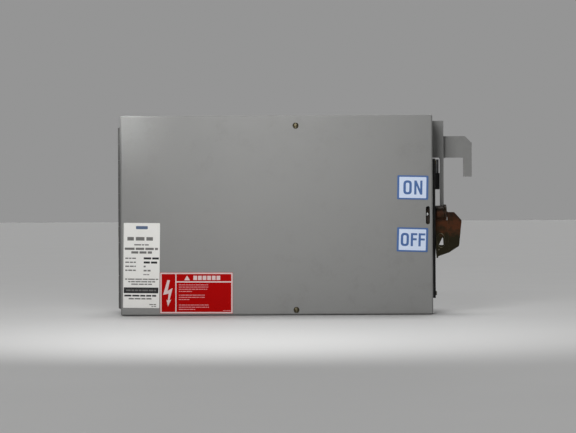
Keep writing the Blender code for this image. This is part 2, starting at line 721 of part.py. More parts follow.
def interlock_carrier(f):
    """The dark block outside the channel; its neck reaches the slide through the slots."""
    block_x = CHANNEL_WEB_X[1] + GAP
    block = box("interlock_carrier", (block_x, CARRIER_Y - 0.008, 0.2010),
                (ROD_X + ROD_R + 0.0008, CARRIER_Y + 0.008, 0.2276), f["dark_steel"])
    join(block, box("carrier_neck", (SLIDE_X[1] + GAP, CARRIER_Y - 0.004, 0.2100),
                    (block_x + 0.001, CARRIER_Y + 0.004, 0.2180)))
    cut(block, cylinder("rod_socket", "Z", ROD_Z[0] - GAP, 0.24, ROD_X, CARRIER_Y,
                        ROD_R + GAP / 4))
    return block


def interlock_rod(f):
    return cylinder("interlock_rod", "Z", *ROD_Z, ROD_X, CARRIER_Y, ROD_R - GAP / 4,
                    f["zinc_steel"])


# ---------------------------------------------------------------- inside: breaker and operator


def mounting_pan(f):
    left, right = PAN_X
    rear = REAR_Y - SHEET - GAP
    thick = PAN_Y[1] - PAN_Y[0]
    outline = [(left, PAN_Y[0]), (right, PAN_Y[0]), (right, rear - thick),
               (right + 0.012, rear - thick), (right + 0.012, rear), (right - thick, rear),
               (right - thick, PAN_Y[1]), (left + thick, PAN_Y[1]), (left + thick, rear),
               (left - 0.012, rear), (left - 0.012, rear - thick), (left, rear - thick)]
    return prism("mounting_pan", outline, "Z", 0.066, 0.258, f["zinc_steel"])


def breaker_base(f):
    half = BREAKER_W / 2
    low = (BREAKER_X - half, BREAKER_SPLIT_Y + GAP, MID_Z - BREAKER_H / 2)
    high = (BREAKER_X + half, BREAKER_REAR_Y, MID_Z + BREAKER_H / 2)
    base = box("breaker_base", low, high, f["black_moulding"])
    for i in range(3):
        x = BREAKER_X + (i - 1) * POLE_PITCH
        for j, z in enumerate((low[2], high[2])):
            cut(base, box(f"terminal_bay_{i}_{j}", (x - 0.0125, BREAKER_SPLIT_Y - 0.01, z - 0.012),
                          (x + 0.0125, 0.060, z + 0.012)))
    return base


def breaker_cover(f):
    half = BREAKER_W / 2
    low = (BREAKER_X - half, BREAKER_FACE_Y, MID_Z - BREAKER_H / 2 + 0.018)
    high = (BREAKER_X + half, BREAKER_SPLIT_Y, MID_Z + BREAKER_H / 2 - 0.018)
    cover = bevel_box("breaker_cover", low, high, 0.0015, 2, [("Y", BREAKER_SPLIT_Y)],
                      f["black_moulding"])
    join(cover, box("toggle_boss", (BREAKER_X - 0.024, BREAKER_FACE_Y - 0.0055, MID_Z - 0.024),
                    (BREAKER_X + 0.024, BREAKER_FACE_Y + 0.005, MID_Z + 0.024)))
    wedge = [(-0.0300, MID_Z - 0.0215), (-0.0300, MID_Z + 0.0215), (0.0160, MID_Z + 0.0090),
             (0.0160, MID_Z - 0.0090)]
    cut(cover, prism("toggle_well", wedge, "X", BREAKER_X - 0.0085, BREAKER_X + 0.0085))
    cut(cover, cylinder("button_bore", "Y", BREAKER_FACE_Y - 0.01, BREAKER_FACE_Y + 0.012,
                        BUTTON_X, BUTTON_Z, 0.0038, segments=16))
    return cover


def breaker_toggle(f):
    """The toggle points forward from its pivot deep in the breaker, tipped down when off."""
    half_thick = 0.0045
    reach = TOGGLE_Y + 0.044
    steps = 8
    root = [(0.0060 * math.cos(a), 0.0060 * math.sin(a))
            for a in (math.radians(-90 + 180 * i / steps) for i in range(steps + 1))]
    outline = root + [(-0.020, half_thick), (-reach + 0.001, half_thick - 0.001),
                      (-reach, half_thick - 0.002), (-reach, -half_thick + 0.002),
                      (-reach + 0.001, -half_thick + 0.001), (-0.020, -half_thick)]
    cosine = math.cos(TOGGLE_HALF)
    sine = math.sin(TOGGLE_HALF)
    placed = [(TOGGLE_Y + y * cosine - z * sine, SHAFT_Z + y * sine + z * cosine)
              for y, z in outline]
    return prism("breaker_toggle", placed, "X", BREAKER_X - 0.0075, BREAKER_X + 0.0075,
                 f["black_moulding"])


def trip_button(f):
    return cylinder("trip_button", "Y", BREAKER_FACE_Y - 0.0025, BREAKER_FACE_Y + 0.0060,
                    BUTTON_X, BUTTON_Z, 0.0034, f["red_moulding"], 16)


def lugs(f):
    made = []
    lower_z = (MID_Z - BREAKER_H / 2 - 0.0045, MID_Z - BREAKER_H / 2 + 0.0115)
    upper_z = (MID_Z + BREAKER_H / 2 - 0.0115, MID_Z + BREAKER_H / 2 + 0.0045)
    for kind, (start, end) in (("line", upper_z), ("load", lower_z)):
        for i, phase in enumerate("abc"):
            x = BREAKER_X + (i - 1) * POLE_PITCH
            lug = box(f"{kind}_lug_{phase}", (x - 0.0095, 0.0340, start), (x + 0.0095, 0.0560, end),
                      f["aluminium"])
            mouth = end if kind == "line" else start
            depth = -0.0125 if kind == "line" else 0.0125
            low, high = sorted((mouth + depth, mouth - depth))
            cut(lug, cylinder(f"{kind}_bore_{phase}", "Z", low, high, x, 0.0440,
                              CABLE_R + 4 * GAP, segments=20))
            cut(lug, cylinder(f"{kind}_set_screw_{phase}", "Y", 0.030, 0.0365, x,
                              (start + end) / 2, 0.0035, segments=12))
            made.append(lug)
    return made


def operator_bridge(f):
    """A hat-section bridge over the breaker that carries the operator slide."""
    left = (0.0115, 0.0135)
    right = BRIDGE_RIGHT_X
    foot_y = (PAN_Y[0] - GAP - 0.002, PAN_Y[0] - GAP)
    outline = [(left[0] - 0.009, foot_y[1]), (left[0] - 0.009, foot_y[0]), (left[0], foot_y[0]),
               (left[0], BRIDGE_Y[0]), (right[1], BRIDGE_Y[0]), (right[1], foot_y[0]),
               (right[1] + 0.009, foot_y[0]), (right[1] + 0.009, foot_y[1]),
               (right[0], foot_y[1]), (right[0], BRIDGE_Y[1]), (left[1], BRIDGE_Y[1]),
               (left[1], foot_y[1])]
    bridge = prism("operator_bridge", outline, "Z", 0.118, 0.202, f["zinc_steel"])
    cut(bridge, box("bridge_window", (BREAKER_X - 0.014, -0.03, MID_Z - 0.024),
                    (BREAKER_X + 0.014, -0.01, MID_Z + 0.024)))
    return bridge


def operator_slide(f):
    half_h = 0.025
    outline = [(0.0320, SLIDER_Y[0]), (EAR_X[0], SLIDER_Y[0]), (EAR_X[0], -0.0680),
               (EAR_X[1], -0.0680), (EAR_X[1], SLIDER_Y[1]), (0.0320, SLIDER_Y[1])]
    slide = prism("operator_slide", outline, "Z", SLIDER_MID_Z - half_h, SLIDER_MID_Z + half_h,
                  f["zinc_steel"])
    cut(slide, box("toggle_window", (BREAKER_X - 0.009, -0.04, SLIDER_MID_Z - 0.0062),
                   (BREAKER_X + 0.009, -0.01, SLIDER_MID_Z + 0.0062)))
    cut(slide, box("crank_slot", (0.12, -0.0647, SLIDER_MID_Z - 0.0045),
                   (0.14, -0.0493, SLIDER_MID_Z + 0.0045)))
    slot_half = SLIDE_DROP + 0.0036
    for side, x in slide_studs_at():
        slot = rounded(rectangle((x - 0.0034, SLIDER_MID_Z - slot_half),
                                 (x + 0.0034, SLIDER_MID_Z + slot_half)), 0.0030, 3)
        cut(slide, prism(f"slide_{side}_slot", slot, "Y", -0.04, -0.01))
    return slide


def slide_studs_at():
    return [("left", 0.043), ("right", 0.103)]


def slide_studs(f):
    made = []
    for side, x in slide_studs_at():
        stud = cylinder(f"slide_stud_{side}", "Y", -0.0290, SLIDER_Y[0] - GAP, x, MID_Z, 0.0055,
                        f["zinc_steel"], 16)
        join(stud, cylinder(f"slide_shank_{side}", "Y", -0.0280, BRIDGE_Y[0] - GAP, x, MID_Z,
                            0.0030, segments=16))
        made.append(stud)
    return made


# ---------------------------------------------------------------- inside: plug-in contacts


def stab_insulator(f):
    """A moulded block: a flange inside the case and a body that stands out of its back."""
    flange_y = (REAR_Y - SHEET - GAP - 0.010, REAR_Y - SHEET - GAP)
    block = box("stab_insulator", (STAB_X - 0.058, flange_y[0], 0.0905),
                (STAB_X + 0.058, flange_y[1], 0.2295), f["red_moulding"])
    join(block, box("stab_shroud", (STAB_X - 0.053, flange_y[0] + 0.004, 0.0955),
                    (STAB_X + 0.053, REAR_Y + 0.026, 0.2245)))
    for i in range(4):
        z = STAB_TOP_Z - i * STAB_PITCH
        cut(block, box(f"stab_pocket_{i}", (STAB_X - 0.022, 0.06, z - 0.0085),
                       (STAB_X + 0.022, REAR_Y + 0.05, z + 0.0085)))
    return block


def line_stab(name, z, finish):
    """A U-shaped jaw that opens to the rear, with a tail inside the case."""
    half_w = 0.0185
    outline = [(0.0560, z - 0.0015), (0.0560, z + 0.0015), (0.0840, z + 0.0015),
               (0.0840, z + 0.0060), (0.1420, z + 0.0060), (0.1460, z + 0.0075),
               (0.1470, z + 0.0060), (0.1425, z + 0.0040), (0.0860, z + 0.0040),
               (0.0860, z - 0.0040), (0.1425, z - 0.0040), (0.1470, z - 0.0060),
               (0.1460, z - 0.0075), (0.1420, z - 0.0060), (0.0840, z - 0.0060),
               (0.0840, z - 0.0015)]
    return prism(name, outline, "X", STAB_X - half_w, STAB_X + half_w, finish)


def line_stabs(f):
    names = ("line_stab_a", "line_stab_b", "line_stab_c", "ground_stab")
    return [line_stab(name, STAB_TOP_Z - i * STAB_PITCH, f["copper"])
            for i, name in enumerate(names)]


def ground_bar(f):
    rear = REAR_Y - SHEET - GAP
    bar = box("ground_bar", (-0.110, rear - 0.014, 0.0300), (-0.020, rear, 0.0420), f["copper"])
    for i in range(6):
        cut(bar, cylinder(f"ground_hole_{i}", "Z", 0.02, 0.05, GROUND_HOLE_X + 0.015 * i,
                          GROUND_HOLE_Y, GROUND_CABLE_R + 2 * GAP, segments=16))
    return bar


def cable_route(start, depth, height, lug_x):
    """From the front of a stab's tail, out, up, across and down into its lug."""
    x, y, z = start
    return [Vector(p) for p in (
        (x, y, z), (x, y - 0.010, z), (x + 0.001, depth + 0.004, z + 0.006),
        (x + 0.004, depth, z + 0.025), (x + 0.012, depth, height - 0.022),
        (x + 0.034, depth, height), (lug_x - 0.034, depth + 0.006, height),
        (lug_x - 0.008, 0.036, height - 0.010), (lug_x, 0.044, height - 0.026),
        (lug_x, 0.044, 0.2420))]


def smooth_curve(points, spacing):
    """Points along a Catmull-Rom curve through the given points."""
    result = []
    padded = [points[0] * 2 - points[1]] + points + [points[-1] * 2 - points[-2]]
    for a, b, c, d in zip(padded, padded[1:], padded[2:], padded[3:]):
        steps = max(1, round((c - b).length / spacing))
        for i in range(steps):
            t = i / steps
            result.append(0.5 * ((2 * b) + (c - a) * t + (2 * a - 5 * b + 4 * c - d) * t * t
                                 + (3 * b - a - 3 * c + d) * t ** 3))
    result.append(points[-1])
    return result


def cable(name, route, radius, finish):
    curve = bpy.data.curves.new(name, "CURVE")
    curve.dimensions = "3D"
    curve.bevel_depth = radius
    curve.bevel_resolution = 2
    curve.render_resolution_u = 0
    curve.use_fill_caps = True
    points = smooth_curve(route, 0.012)
    spline = curve.splines.new("POLY")
    spline.points.add(len(points) - 1)
    for slot, point in zip(spline.points, points):
        slot.co = (*point, 1.0)
    curve.materials.append(finish)
    made = bpy.data.objects.new(name, curve)
    bpy.context.scene.collection.objects.link(made)
    return made


def line_cables(f):
    tail_y = 0.0560 - GAP
    made = []
    for i, phase in enumerate("abc"):
        start = (STAB_X, tail_y, STAB_TOP_Z - i * STAB_PITCH)
        route = cable_route(start, 0.034 - 0.014 * i, 0.278 + 0.012 * i,
                            BREAKER_X + (i - 1) * POLE_PITCH)
        made.append(cable(f"line_cable_{phase}", route, CABLE_R, f["cable_black"]))
    return made


def ground_cable(f):
    """From the ground stab's tail, down the back of the case, into the ground bar."""
    x, y, z = (STAB_X, 0.0560 - GAP, STAB_TOP_Z - 3 * STAB_PITCH)
    end_x = GROUND_HOLE_X + 0.015
    route = [Vector(p) for p in (
        (x, y, z), (x, y - 0.008, z), (x + 0.002, y - 0.015, z - 0.008),
        (x + 0.008, y - 0.014, z - 0.024), (end_x - 0.008, y + 0.010, z - 0.040),
        (end_x, GROUND_HOLE_Y - 0.010, z - 0.052), (end_x, GROUND_HOLE_Y, z - 0.064),
        (end_x, GROUND_HOLE_Y, 0.0340))]
    return cable("ground_cable", route, GROUND_CABLE_R, f["cable_green"])


# ---------------------------------------------------------------- the assembly


def main():
    clear_scene()
    f = finishes()

    enclosure_body(f)
    cover_pieces = [front_cover(f), cover_catch(f), *labels(f)]
    screws = [cover_screw("cover_screw_top", SCREW_Z[0], f),
              cover_screw("cover_screw_bottom", SCREW_Z[1], f)]
    cover_nut("cover_nut_top", SCREW_Z[0], f)
    cover_nut("cover_nut_bottom", SCREW_Z[1], f)
    case_leaf, cover_leaf, pin = hinge(f)
    cover_pieces.append(cover_leaf)
    cover_joint = joint_empty("cover_hinge_axis", (HINGE_X, HINGE_Y, MID_Z))
    hang_on(cover_joint, cover_pieces + screws)

    mechanism_channel(f)
    guard_bracket(f)
    hanger_hook(f)
    bolts(f)

    turning = [operating_handle(f), handle_hub(f), handle_washer(f), handle_shaft(f),
               crank_arm(f), crank_pin(f), interlock_eccentric(f)]
    handle_joint = joint_empty("handle_axis", (RIGHT_X, SHAFT_Y, SHAFT_Z))
    hang_on(handle_joint, turning)
    shaft_bushing(f)
    shaft_bearing_bracket(f)

    rising = [interlock_slide(f), interlock_carrier(f), interlock_rod(f)]
    hang_on(joint_empty("interlock_axis", (SLIDE_X[0], CARRIER_Y, MID_Z)), rising)
    interlock_studs(f)

    mounting_pan(f)
    breaker_base(f)
    breaker_cover(f)
    hang_on(joint_empty("toggle_axis", (BREAKER_X, TOGGLE_Y, SHAFT_Z)), [breaker_toggle(f)])
    hang_on(joint_empty("button_axis", (BUTTON_X, BREAKER_FACE_Y, BUTTON_Z)), [trip_button(f)])
    lugs(f)
    operator_bridge(f)
    hang_on(joint_empty("operator_axis", (BREAKER_X, SLIDER_Y[0], SLIDER_MID_Z)),
            [operator_slide(f)])
    slide_studs(f)

    stab_insulator(f)
    line_stabs(f)
    ground_bar(f)
    line_cables(f)
    ground_cable(f)


main()
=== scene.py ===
"""Looks for the plug-in disconnect box: finishes, labels, cables, small hardware and light.

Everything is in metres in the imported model's frame: X right, -Y towards the camera, +Z up.
"""
import math
import random

import bmesh
import bpy
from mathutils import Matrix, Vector


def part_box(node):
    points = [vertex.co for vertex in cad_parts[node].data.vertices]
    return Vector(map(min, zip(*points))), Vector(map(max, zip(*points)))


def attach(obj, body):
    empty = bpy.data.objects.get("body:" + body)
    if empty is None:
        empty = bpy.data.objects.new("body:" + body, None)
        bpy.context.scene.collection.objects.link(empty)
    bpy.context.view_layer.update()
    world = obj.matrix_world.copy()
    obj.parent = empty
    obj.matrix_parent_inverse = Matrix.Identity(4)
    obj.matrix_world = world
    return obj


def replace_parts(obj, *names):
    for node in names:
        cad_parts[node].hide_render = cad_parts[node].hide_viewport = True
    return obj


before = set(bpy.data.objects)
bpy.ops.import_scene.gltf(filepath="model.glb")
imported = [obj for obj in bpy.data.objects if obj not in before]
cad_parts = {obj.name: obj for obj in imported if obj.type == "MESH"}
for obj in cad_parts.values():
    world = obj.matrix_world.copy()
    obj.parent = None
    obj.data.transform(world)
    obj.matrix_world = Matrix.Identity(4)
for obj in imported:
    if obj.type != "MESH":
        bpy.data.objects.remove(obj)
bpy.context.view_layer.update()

MM = 0.001
LEFT, RIGHT = (-1.0, 0.0, 0.0), (1.0, 0.0, 0.0)
FRONT, REAR = (0.0, -1.0, 0.0), (0.0, 1.0, 0.0)
UP = (0.0, 0.0, 1.0)

# ---------------------------------------------------------------- shader helpers


def add(tree, kind, inputs=None, **settings):
    """One shader node; each input is a plain value or the socket that it is linked from."""
    node = tree.nodes.new("ShaderNode" + kind)
    for key, value in settings.items():
        setattr(node, key, value)
    for key, value in (inputs or {}).items():
        if isinstance(value, bpy.types.NodeSocket):
            tree.links.new(value, node.inputs[key])
        else:
            node.inputs[key].default_value = value
    return node


class Finish:
    """A material built up in layers: tints over a base colour, roughness, then bumps."""

    def __init__(self, name, colour, metallic=0.0, specular=0.5):
        self.material = bpy.data.materials.new(name)
        self.material.use_nodes = True
        self.tree = self.material.node_tree
        self.shader = self.tree.nodes["Principled BSDF"]
        self.shader.inputs["Metallic"].default_value = metallic
        self.shader.inputs["Specular IOR Level"].default_value = specular
        self.place = add(self.tree, "TexCoord").outputs["Object"]
        self.colour = add(self.tree, "RGB").outputs[0]
        self.colour.default_value = (*colour, 1.0)
        self.roughness = None
        self.normal = None

    def stretched(self, x, y, z):
        """Object coordinates scaled along each axis, for grain that runs one way."""
        return add(self.tree, "Mapping", {"Vector": self.place, "Scale": (x, y, z)}).outputs[0]

    def noise(self, scale, detail, roughness=0.5, place=None, distortion=0.0):
        return add(self.tree, "TexNoise", {
            "Vector": place or self.place, "Scale": scale, "Detail": detail,
            "Roughness": roughness, "Distortion": distortion}).outputs["Fac"]

    def cells(self, scale):
        """A shade of its own for each cell, as on spangled plating."""
        return add(self.tree, "TexVoronoi", {"Vector": self.place, "Scale": scale}).outputs["Color"]

    def fade(self, value, low, high, bottom=0.0, top=1.0):
        """Runs from bottom to top while the value runs from low to high."""
        return add(self.tree, "MapRange", {"Value": value, "From Min": low, "From Max": high,
                                           "To Min": bottom, "To Max": top}).outputs[0]

    def times(self, first, second):
        return add(self.tree, "Math", {0: first, 1: second}, operation="MULTIPLY").outputs[0]

    def edges(self, radius, low, high):
        """1 along sharp edges and 0 on flat faces, from a rounded normal."""
        round_normal = add(self.tree, "Bevel", {"Radius": radius}, samples=6).outputs[0]
        flat_normal = add(self.tree, "NewGeometry").outputs["Normal"]
        dot = add(self.tree, "VectorMath", {0: round_normal, 1: flat_normal},
                  operation="DOT_PRODUCT").outputs["Value"]
        return self.fade(dot, 1.0 - low, 1.0 - high)

    def tint(self, mask, colour):
        """Another colour over the ones before it, as strong as the mask."""
        self.colour = add(self.tree, "Mix", {0: mask, 6: self.colour, 7: (*colour, 1.0)},
                          data_type="RGBA").outputs[2]

    def rough(self, mask, low, high):
        """Roughness that runs from low to high with the mask."""
        self.roughness = self.fade(mask, 0.0, 1.0, low, high)

    def bump(self, height, distance, strength):
        """One more bump over the ones before it."""
        inputs = {"Height": height, "Distance": distance, "Strength": strength}
        if self.normal is not None:
            inputs["Normal"] = self.normal
        self.normal = add(self.tree, "Bump", inputs).outputs[0]

    def done(self):
        """Links the layers to the shader and gives the material."""
        for key, layer in (("Base Color", self.colour), ("Roughness", self.roughness),
                           ("Normal", self.normal)):
            self.tree.links.new(layer, self.shader.inputs[key])
        return self.material


def scaled(colour, factor):
    return tuple(factor * c for c in colour)


# ---------------------------------------------------------------- finishes


def grey_powder_coat(name, shade):
    """Satin powder coat: orange-peel skin, faint clouds and grime, and worn edges."""
    f = Finish(name, scaled((0.262, 0.262, 0.256), shade))
    clouds = f.noise(7.0, 4.0, 0.6)
    f.tint(f.fade(clouds, 0.35, 0.70, 0.0, 0.35), scaled((0.235, 0.237, 0.233), shade))
    f.tint(f.fade(f.noise(900.0, 2.0), 0.35, 0.75, 0.0, 0.30), scaled((0.300, 0.300, 0.292), shade))
    grime = f.times(f.fade(f.noise(38.0, 5.0, 0.7), 0.52, 0.72), f.fade(clouds, 0.4, 0.6))
    f.tint(f.times(grime, 0.35), (0.190, 0.186, 0.176))
    worn = f.times(f.edges(0.0012, 0.05, 0.30), f.fade(f.noise(160.0, 4.0, 0.7), 0.50, 0.66))
    f.tint(f.times(worn, 0.55), (0.420, 0.420, 0.410))
    f.rough(f.noise(55.0, 4.0, 0.6), 0.36, 0.52)
    f.bump(f.noise(620.0, 2.0, 0.45), 0.00006, 0.55)
    f.bump(f.noise(11.0, 1.0), 0.00050, 0.25)
    return f.done()


def dark_steel():
    """Blackened steel, grey where its edges are rubbed."""
    f = Finish("dark_steel", (0.020, 0.020, 0.021), 0.35)
    f.tint(f.fade(f.noise(90.0, 5.0, 0.7), 0.45, 0.75, 0.0, 0.6), (0.045, 0.043, 0.040))
    worn = f.times(f.edges(0.0010, 0.05, 0.30), f.fade(f.noise(220.0, 4.0, 0.7), 0.40, 0.62))
    f.tint(worn, (0.180, 0.175, 0.165))
    f.rough(f.noise(70.0, 4.0, 0.6), 0.34, 0.58)
    f.bump(f.noise(500.0, 3.0, 0.6), 0.00004, 0.5)
    return f.done()


def zinc_plate():
    """Bright zinc: a faint spangle, yellow and blue clouds, and an upright grain."""
    f = Finish("zinc_plate", (0.560, 0.570, 0.575), 0.92)
    f.tint(f.fade(f.cells(210.0), 0.2, 0.9, 0.0, 0.35), (0.430, 0.445, 0.455))
    f.tint(f.fade(f.noise(26.0, 4.0, 0.6), 0.45, 0.70, 0.0, 0.40), (0.520, 0.500, 0.420))
    f.tint(f.fade(f.noise(14.0, 3.0), 0.55, 0.75, 0.0, 0.25), (0.420, 0.460, 0.540))
    grain = f.noise(260.0, 3.0, 0.6, f.stretched(1.0, 1.0, 0.08))
    f.rough(grain, 0.26, 0.46)
    f.bump(grain, 0.00003, 0.35)
    return f.done()


def screw_steel():
    """Olive chromate on screw heads, paler along their edges."""
    f = Finish("olive_screw_plate", (0.130, 0.112, 0.066), 0.88)
    f.tint(f.fade(f.noise(420.0, 4.0, 0.7), 0.40, 0.70, 0.0, 0.7), (0.052, 0.046, 0.030))
    f.tint(f.edges(0.0006, 0.04, 0.25), (0.330, 0.300, 0.220))
    f.rough(f.noise(700.0, 3.0), 0.28, 0.50)
    f.bump(f.noise(1500.0, 2.0), 0.00003, 0.4)
    return f.done()


WARM_TINT_AND_LIGHT_BAND = (0.127, 0.139)      # heights where the plating turns from olive to warm: its tint and painted light
PAINTED_SHADE_BAND = (0.148, 0.164)      # and, across the shaft, from warm to nearly black: painted shade


def bronze_plate(name, olive, warm_tint_and_light):
    """Brown chromate: warmest below the shaft, its tint plus painted light; painted shade across
    the shaft; olive at the far end.
    """
    f = Finish(name, olive, 0.40, 0.22)
    height = add(f.tree, "SeparateXYZ", {0: f.place}).outputs["Z"]
    clouds = f.fade(f.noise(46.0, 4.0, 0.6), 0.25, 0.75, -0.016, 0.016)
    shifted = add(f.tree, "Math", {0: height, 1: clouds}, operation="ADD").outputs[0]
    # Warm band: the plating's own tint plus painted light where the lever is lit.
    f.tint(f.fade(shifted, *WARM_TINT_AND_LIGHT_BAND), warm_tint_and_light)
    # Painted shade: nearly black across the shaft, for the shadow on the hub.
    f.tint(f.fade(shifted, *PAINTED_SHADE_BAND), (0.022, 0.014, 0.009))
    f.tint(f.fade(f.noise(83.0, 4.0, 0.6), 0.48, 0.66, 0.0, 0.7), (0.020, 0.017, 0.007))
    worn = f.times(f.edges(0.0009, 0.04, 0.28), f.fade(f.noise(300.0, 4.0, 0.7), 0.38, 0.60))
    f.tint(f.times(worn, 0.7), (0.200, 0.165, 0.105))
    f.rough(f.noise(120.0, 4.0, 0.6), 0.28, 0.52)
    f.bump(f.noise(700.0, 3.0, 0.6), 0.00003, 0.4)
    return f.done()


def moulding(name, colour, light, rough_low, rough_high):
    """Thermoset moulding: fine flow clouds and a satin, slightly pitted skin."""
    f = Finish(name, colour)
    f.tint(f.fade(f.noise(45.0, 5.0, 0.65, distortion=0.6), 0.40, 0.75, 0.0, 0.5), light)
    f.tint(f.fade(f.noise(1400.0, 2.0), 0.60, 0.80, 0.0, 0.5), light)
    f.tint(f.times(f.edges(0.0008, 0.05, 0.30), 0.35), light)
    f.rough(f.noise(120.0, 4.0, 0.6), rough_low, rough_high)
    f.bump(f.noise(900.0, 3.0, 0.6), 0.00003, 0.5)
    return f.done()


def bare_metal(name, colour, tarnish, grain):
    """Unpainted metal with patches of tarnish; the grain runs along the axis with a small scale."""
    f = Finish(name, colour, 0.95)
    f.tint(f.fade(f.noise(60.0, 5.0, 0.65), 0.42, 0.72, 0.0, 0.75), tarnish)
    streaks = f.noise(520.0, 3.0, 0.6, f.stretched(*grain))
    f.tint(f.fade(streaks, 0.55, 0.80, 0.0, 0.3), scaled(colour, 0.6))
    f.rough(streaks, 0.24, 0.46)
    f.bump(streaks, 0.00003, 0.4)
    return f.done()


def cable_jacket(name, colour, light):
    """Extruded plastic: a faint skin of clouds and dust under a thin gloss."""
    f = Finish(name, colour)
    f.tint(f.fade(f.noise(80.0, 4.0, 0.6), 0.45, 0.75, 0.0, 0.5), light)
    f.tint(f.fade(f.noise(30.0, 5.0, 0.7), 0.58, 0.75, 0.0, 0.25), (0.30, 0.29, 0.27))
    f.rough(f.noise(150.0, 3.0), 0.34, 0.55)
    f.bump(f.noise(420.0, 3.0), 0.00008, 0.35)
    f.shader.inputs["Coat Weight"].default_value = 0.10
    return f.done()


def label_film(name, colour, aged, specular=0.12):
    """Printed vinyl: a smooth film with faint yellowing and fine grain."""
    f = Finish(name, colour, 0.0, specular)
    f.tint(f.fade(f.noise(40.0, 4.0, 0.6), 0.40, 0.75, 0.0, 0.45), aged)
    f.tint(f.fade(f.noise(1600.0, 2.0), 0.55, 0.80, 0.0, 0.25), aged)
    f.rough(f.noise(90.0, 4.0), 0.36, 0.54)
    f.bump(f.noise(260.0, 2.0), 0.00004, 0.30)
    return f.done()


def pale_floor():
    """A matt studio floor with very faint clouds."""
    f = Finish("pale_floor", (0.66, 0.66, 0.655), 0.0, 0.2)
    f.tint(f.fade(f.noise(1.5, 4.0, 0.6), 0.35, 0.75, 0.0, 0.3), (0.62, 0.62, 0.615))
    f.rough(f.noise(6.0, 4.0), 0.50, 0.66)
    f.bump(f.noise(90.0, 3.0), 0.0004, 0.15)
    return f.done()


# One finish for each of the record's material slots.
FINISHES = {
    "grey_paint": grey_powder_coat("grey_powder_coat", 1.0),
    "dark_steel": dark_steel(),
    "zinc_steel": zinc_plate(),
    "screw_steel": screw_steel(),
    "bronze_plate": bronze_plate("brown_chromate", (0.020, 0.0165, 0.0060), (0.092, 0.030, 0.0110)),
    "black_moulding": moulding("black_phenolic", (0.012, 0.012, 0.013), (0.030, 0.029, 0.028),
                               0.36, 0.56),
    "red_moulding": moulding("red_polyester", (0.300, 0.034, 0.022), (0.400, 0.070, 0.048),
                             0.40, 0.60),
    "copper": bare_metal("tinned_copper", (0.700, 0.400, 0.260), (0.420, 0.220, 0.140),
                         (0.05, 1.0, 1.0)),
    "aluminium": bare_metal("aluminium", (0.720, 0.730, 0.740), (0.520, 0.530, 0.540),
                            (1.0, 1.0, 0.06)),
    "cable_black": cable_jacket("cable_black", (0.014, 0.014, 0.015), (0.034, 0.034, 0.035)),
    "cable_green": cable_jacket("cable_green", (0.010, 0.110, 0.030), (0.030, 0.190, 0.060)),
    "label_blue": label_film("blue_print", (0.083, 0.168, 0.400), (0.105, 0.195, 0.420)),
    "label_white": label_film("white_film", (0.900, 0.895, 0.865), (0.840, 0.825, 0.780)),
    "label_red": label_film("red_print", (0.455, 0.001, 0.001), (0.400, 0.002, 0.003), 0.04),
}
# Finishes for single nodes, and for printed layers.
# The hinge's powder coat at half brightness: painted shade for the shadow along the cover's hinge
# edge.
HINGE_PAINTED_SHADE = grey_powder_coat("hinge_grey_painted_shade", 0.50)
# The interlock slide's chromate, darkened as painted shade for the shade behind the slot in the
# cover.
SLIDE_PLATE_PAINTED_SHADE = bronze_plate("chromate_painted_shade", (0.030, 0.026, 0.022), (0.058, 0.046, 0.038))
RIM_METAL = bare_metal("rubbed_chromate", (0.150, 0.135, 0.095), (0.070, 0.058, 0.032),
                       (0.3, 1.0, 1.0))
PRINT_WHITE = label_film("white_print", (0.715, 0.815, 1.000), (0.665, 0.765, 0.960))
PRINT_PINK = label_film("pale_print", (0.780, 0.620, 0.610), (0.720, 0.540, 0.530))
PRINT_ROSE = label_film("rose_print", (0.720, 0.300, 0.310), (0.660, 0.250, 0.260))
PRINT_BLACK = label_film("black_print", (0.030, 0.030, 0.032), (0.055, 0.054, 0.052))
PRINT_GREY = label_film("grey_print", (0.180, 0.178, 0.172), (0.230, 0.226, 0.215))
PRINT_SLATE = label_film("slate_print", (0.110, 0.160, 0.260), (0.150, 0.200, 0.290))

# ---------------------------------------------------------------- mesh helpers


def middle(node):
    """The middle of a CAD node's box."""
    low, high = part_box(node)
    return (low + high) / 2


def rounded(points, radius, steps):
    """A closed outline with each corner turned into a curve of about the given radius."""
    result = []
    count = len(points)
    for i, corner in enumerate(points):
        here = Vector(corner)
        back = Vector(points[i - 1]) - here
        ahead = Vector(points[(i + 1) % count]) - here
        half = back.angle(ahead) / 2
        reach = min(radius / math.tan(half), 0.49 * min(back.length, ahead.length))
        start, end = here + back.normalized() * reach, here + ahead.normalized() * reach
        for k in range(steps + 1):
            t = k / steps
            result.append(start.lerp(here, t).lerp(here.lerp(end, t), t))
    return [tuple(p) for p in result]


def rectangle(left, bottom, right, top):
    return [(left, bottom), (right, bottom), (right, top), (left, top)]


def ringed(outer, inner):
    """The quads between two outlines that have the same number of points."""
    count = len(outer)
    return [[outer[i], outer[(i + 1) % count], inner[(i + 1) % count], inner[i]]
            for i in range(count)]


def bands(bm, loops):
    """Faces from each closed loop of points to the next; a loop may be a single point instead."""
    for near, far in zip(loops, loops[1:]):
        count = max(len(near), len(far))
        for k in range(count):
            j = (k + 1) % count
            if len(near) == 1:
                bm.faces.new((near[0], far[k], far[j]))
            elif len(far) == 1:
                bm.faces.new((near[k], near[j], far[0]))
            else:
                bm.faces.new((near[k], near[j], far[j], far[k]))


def lathe(bm, centre, along, profile, segments=24):
    """A closed solid turned about a line: profile is (distance along, radius), ends at radius 0."""
    along = Vector(along)
    side = along.orthogonal().normalized()
    other = along.cross(side)
    turns = [2 * math.pi * k / segments for k in range(segments)]
    loops = []
    for distance, radius in profile:
        hub = Vector(centre) + along * distance
        if radius == 0.0:
            loops.append([bm.verts.new(hub)])
        else:
            loops.append([bm.verts.new(hub + radius * (side * math.cos(a) + other * math.sin(a)))
                          for a in turns])
    bands(bm, loops)


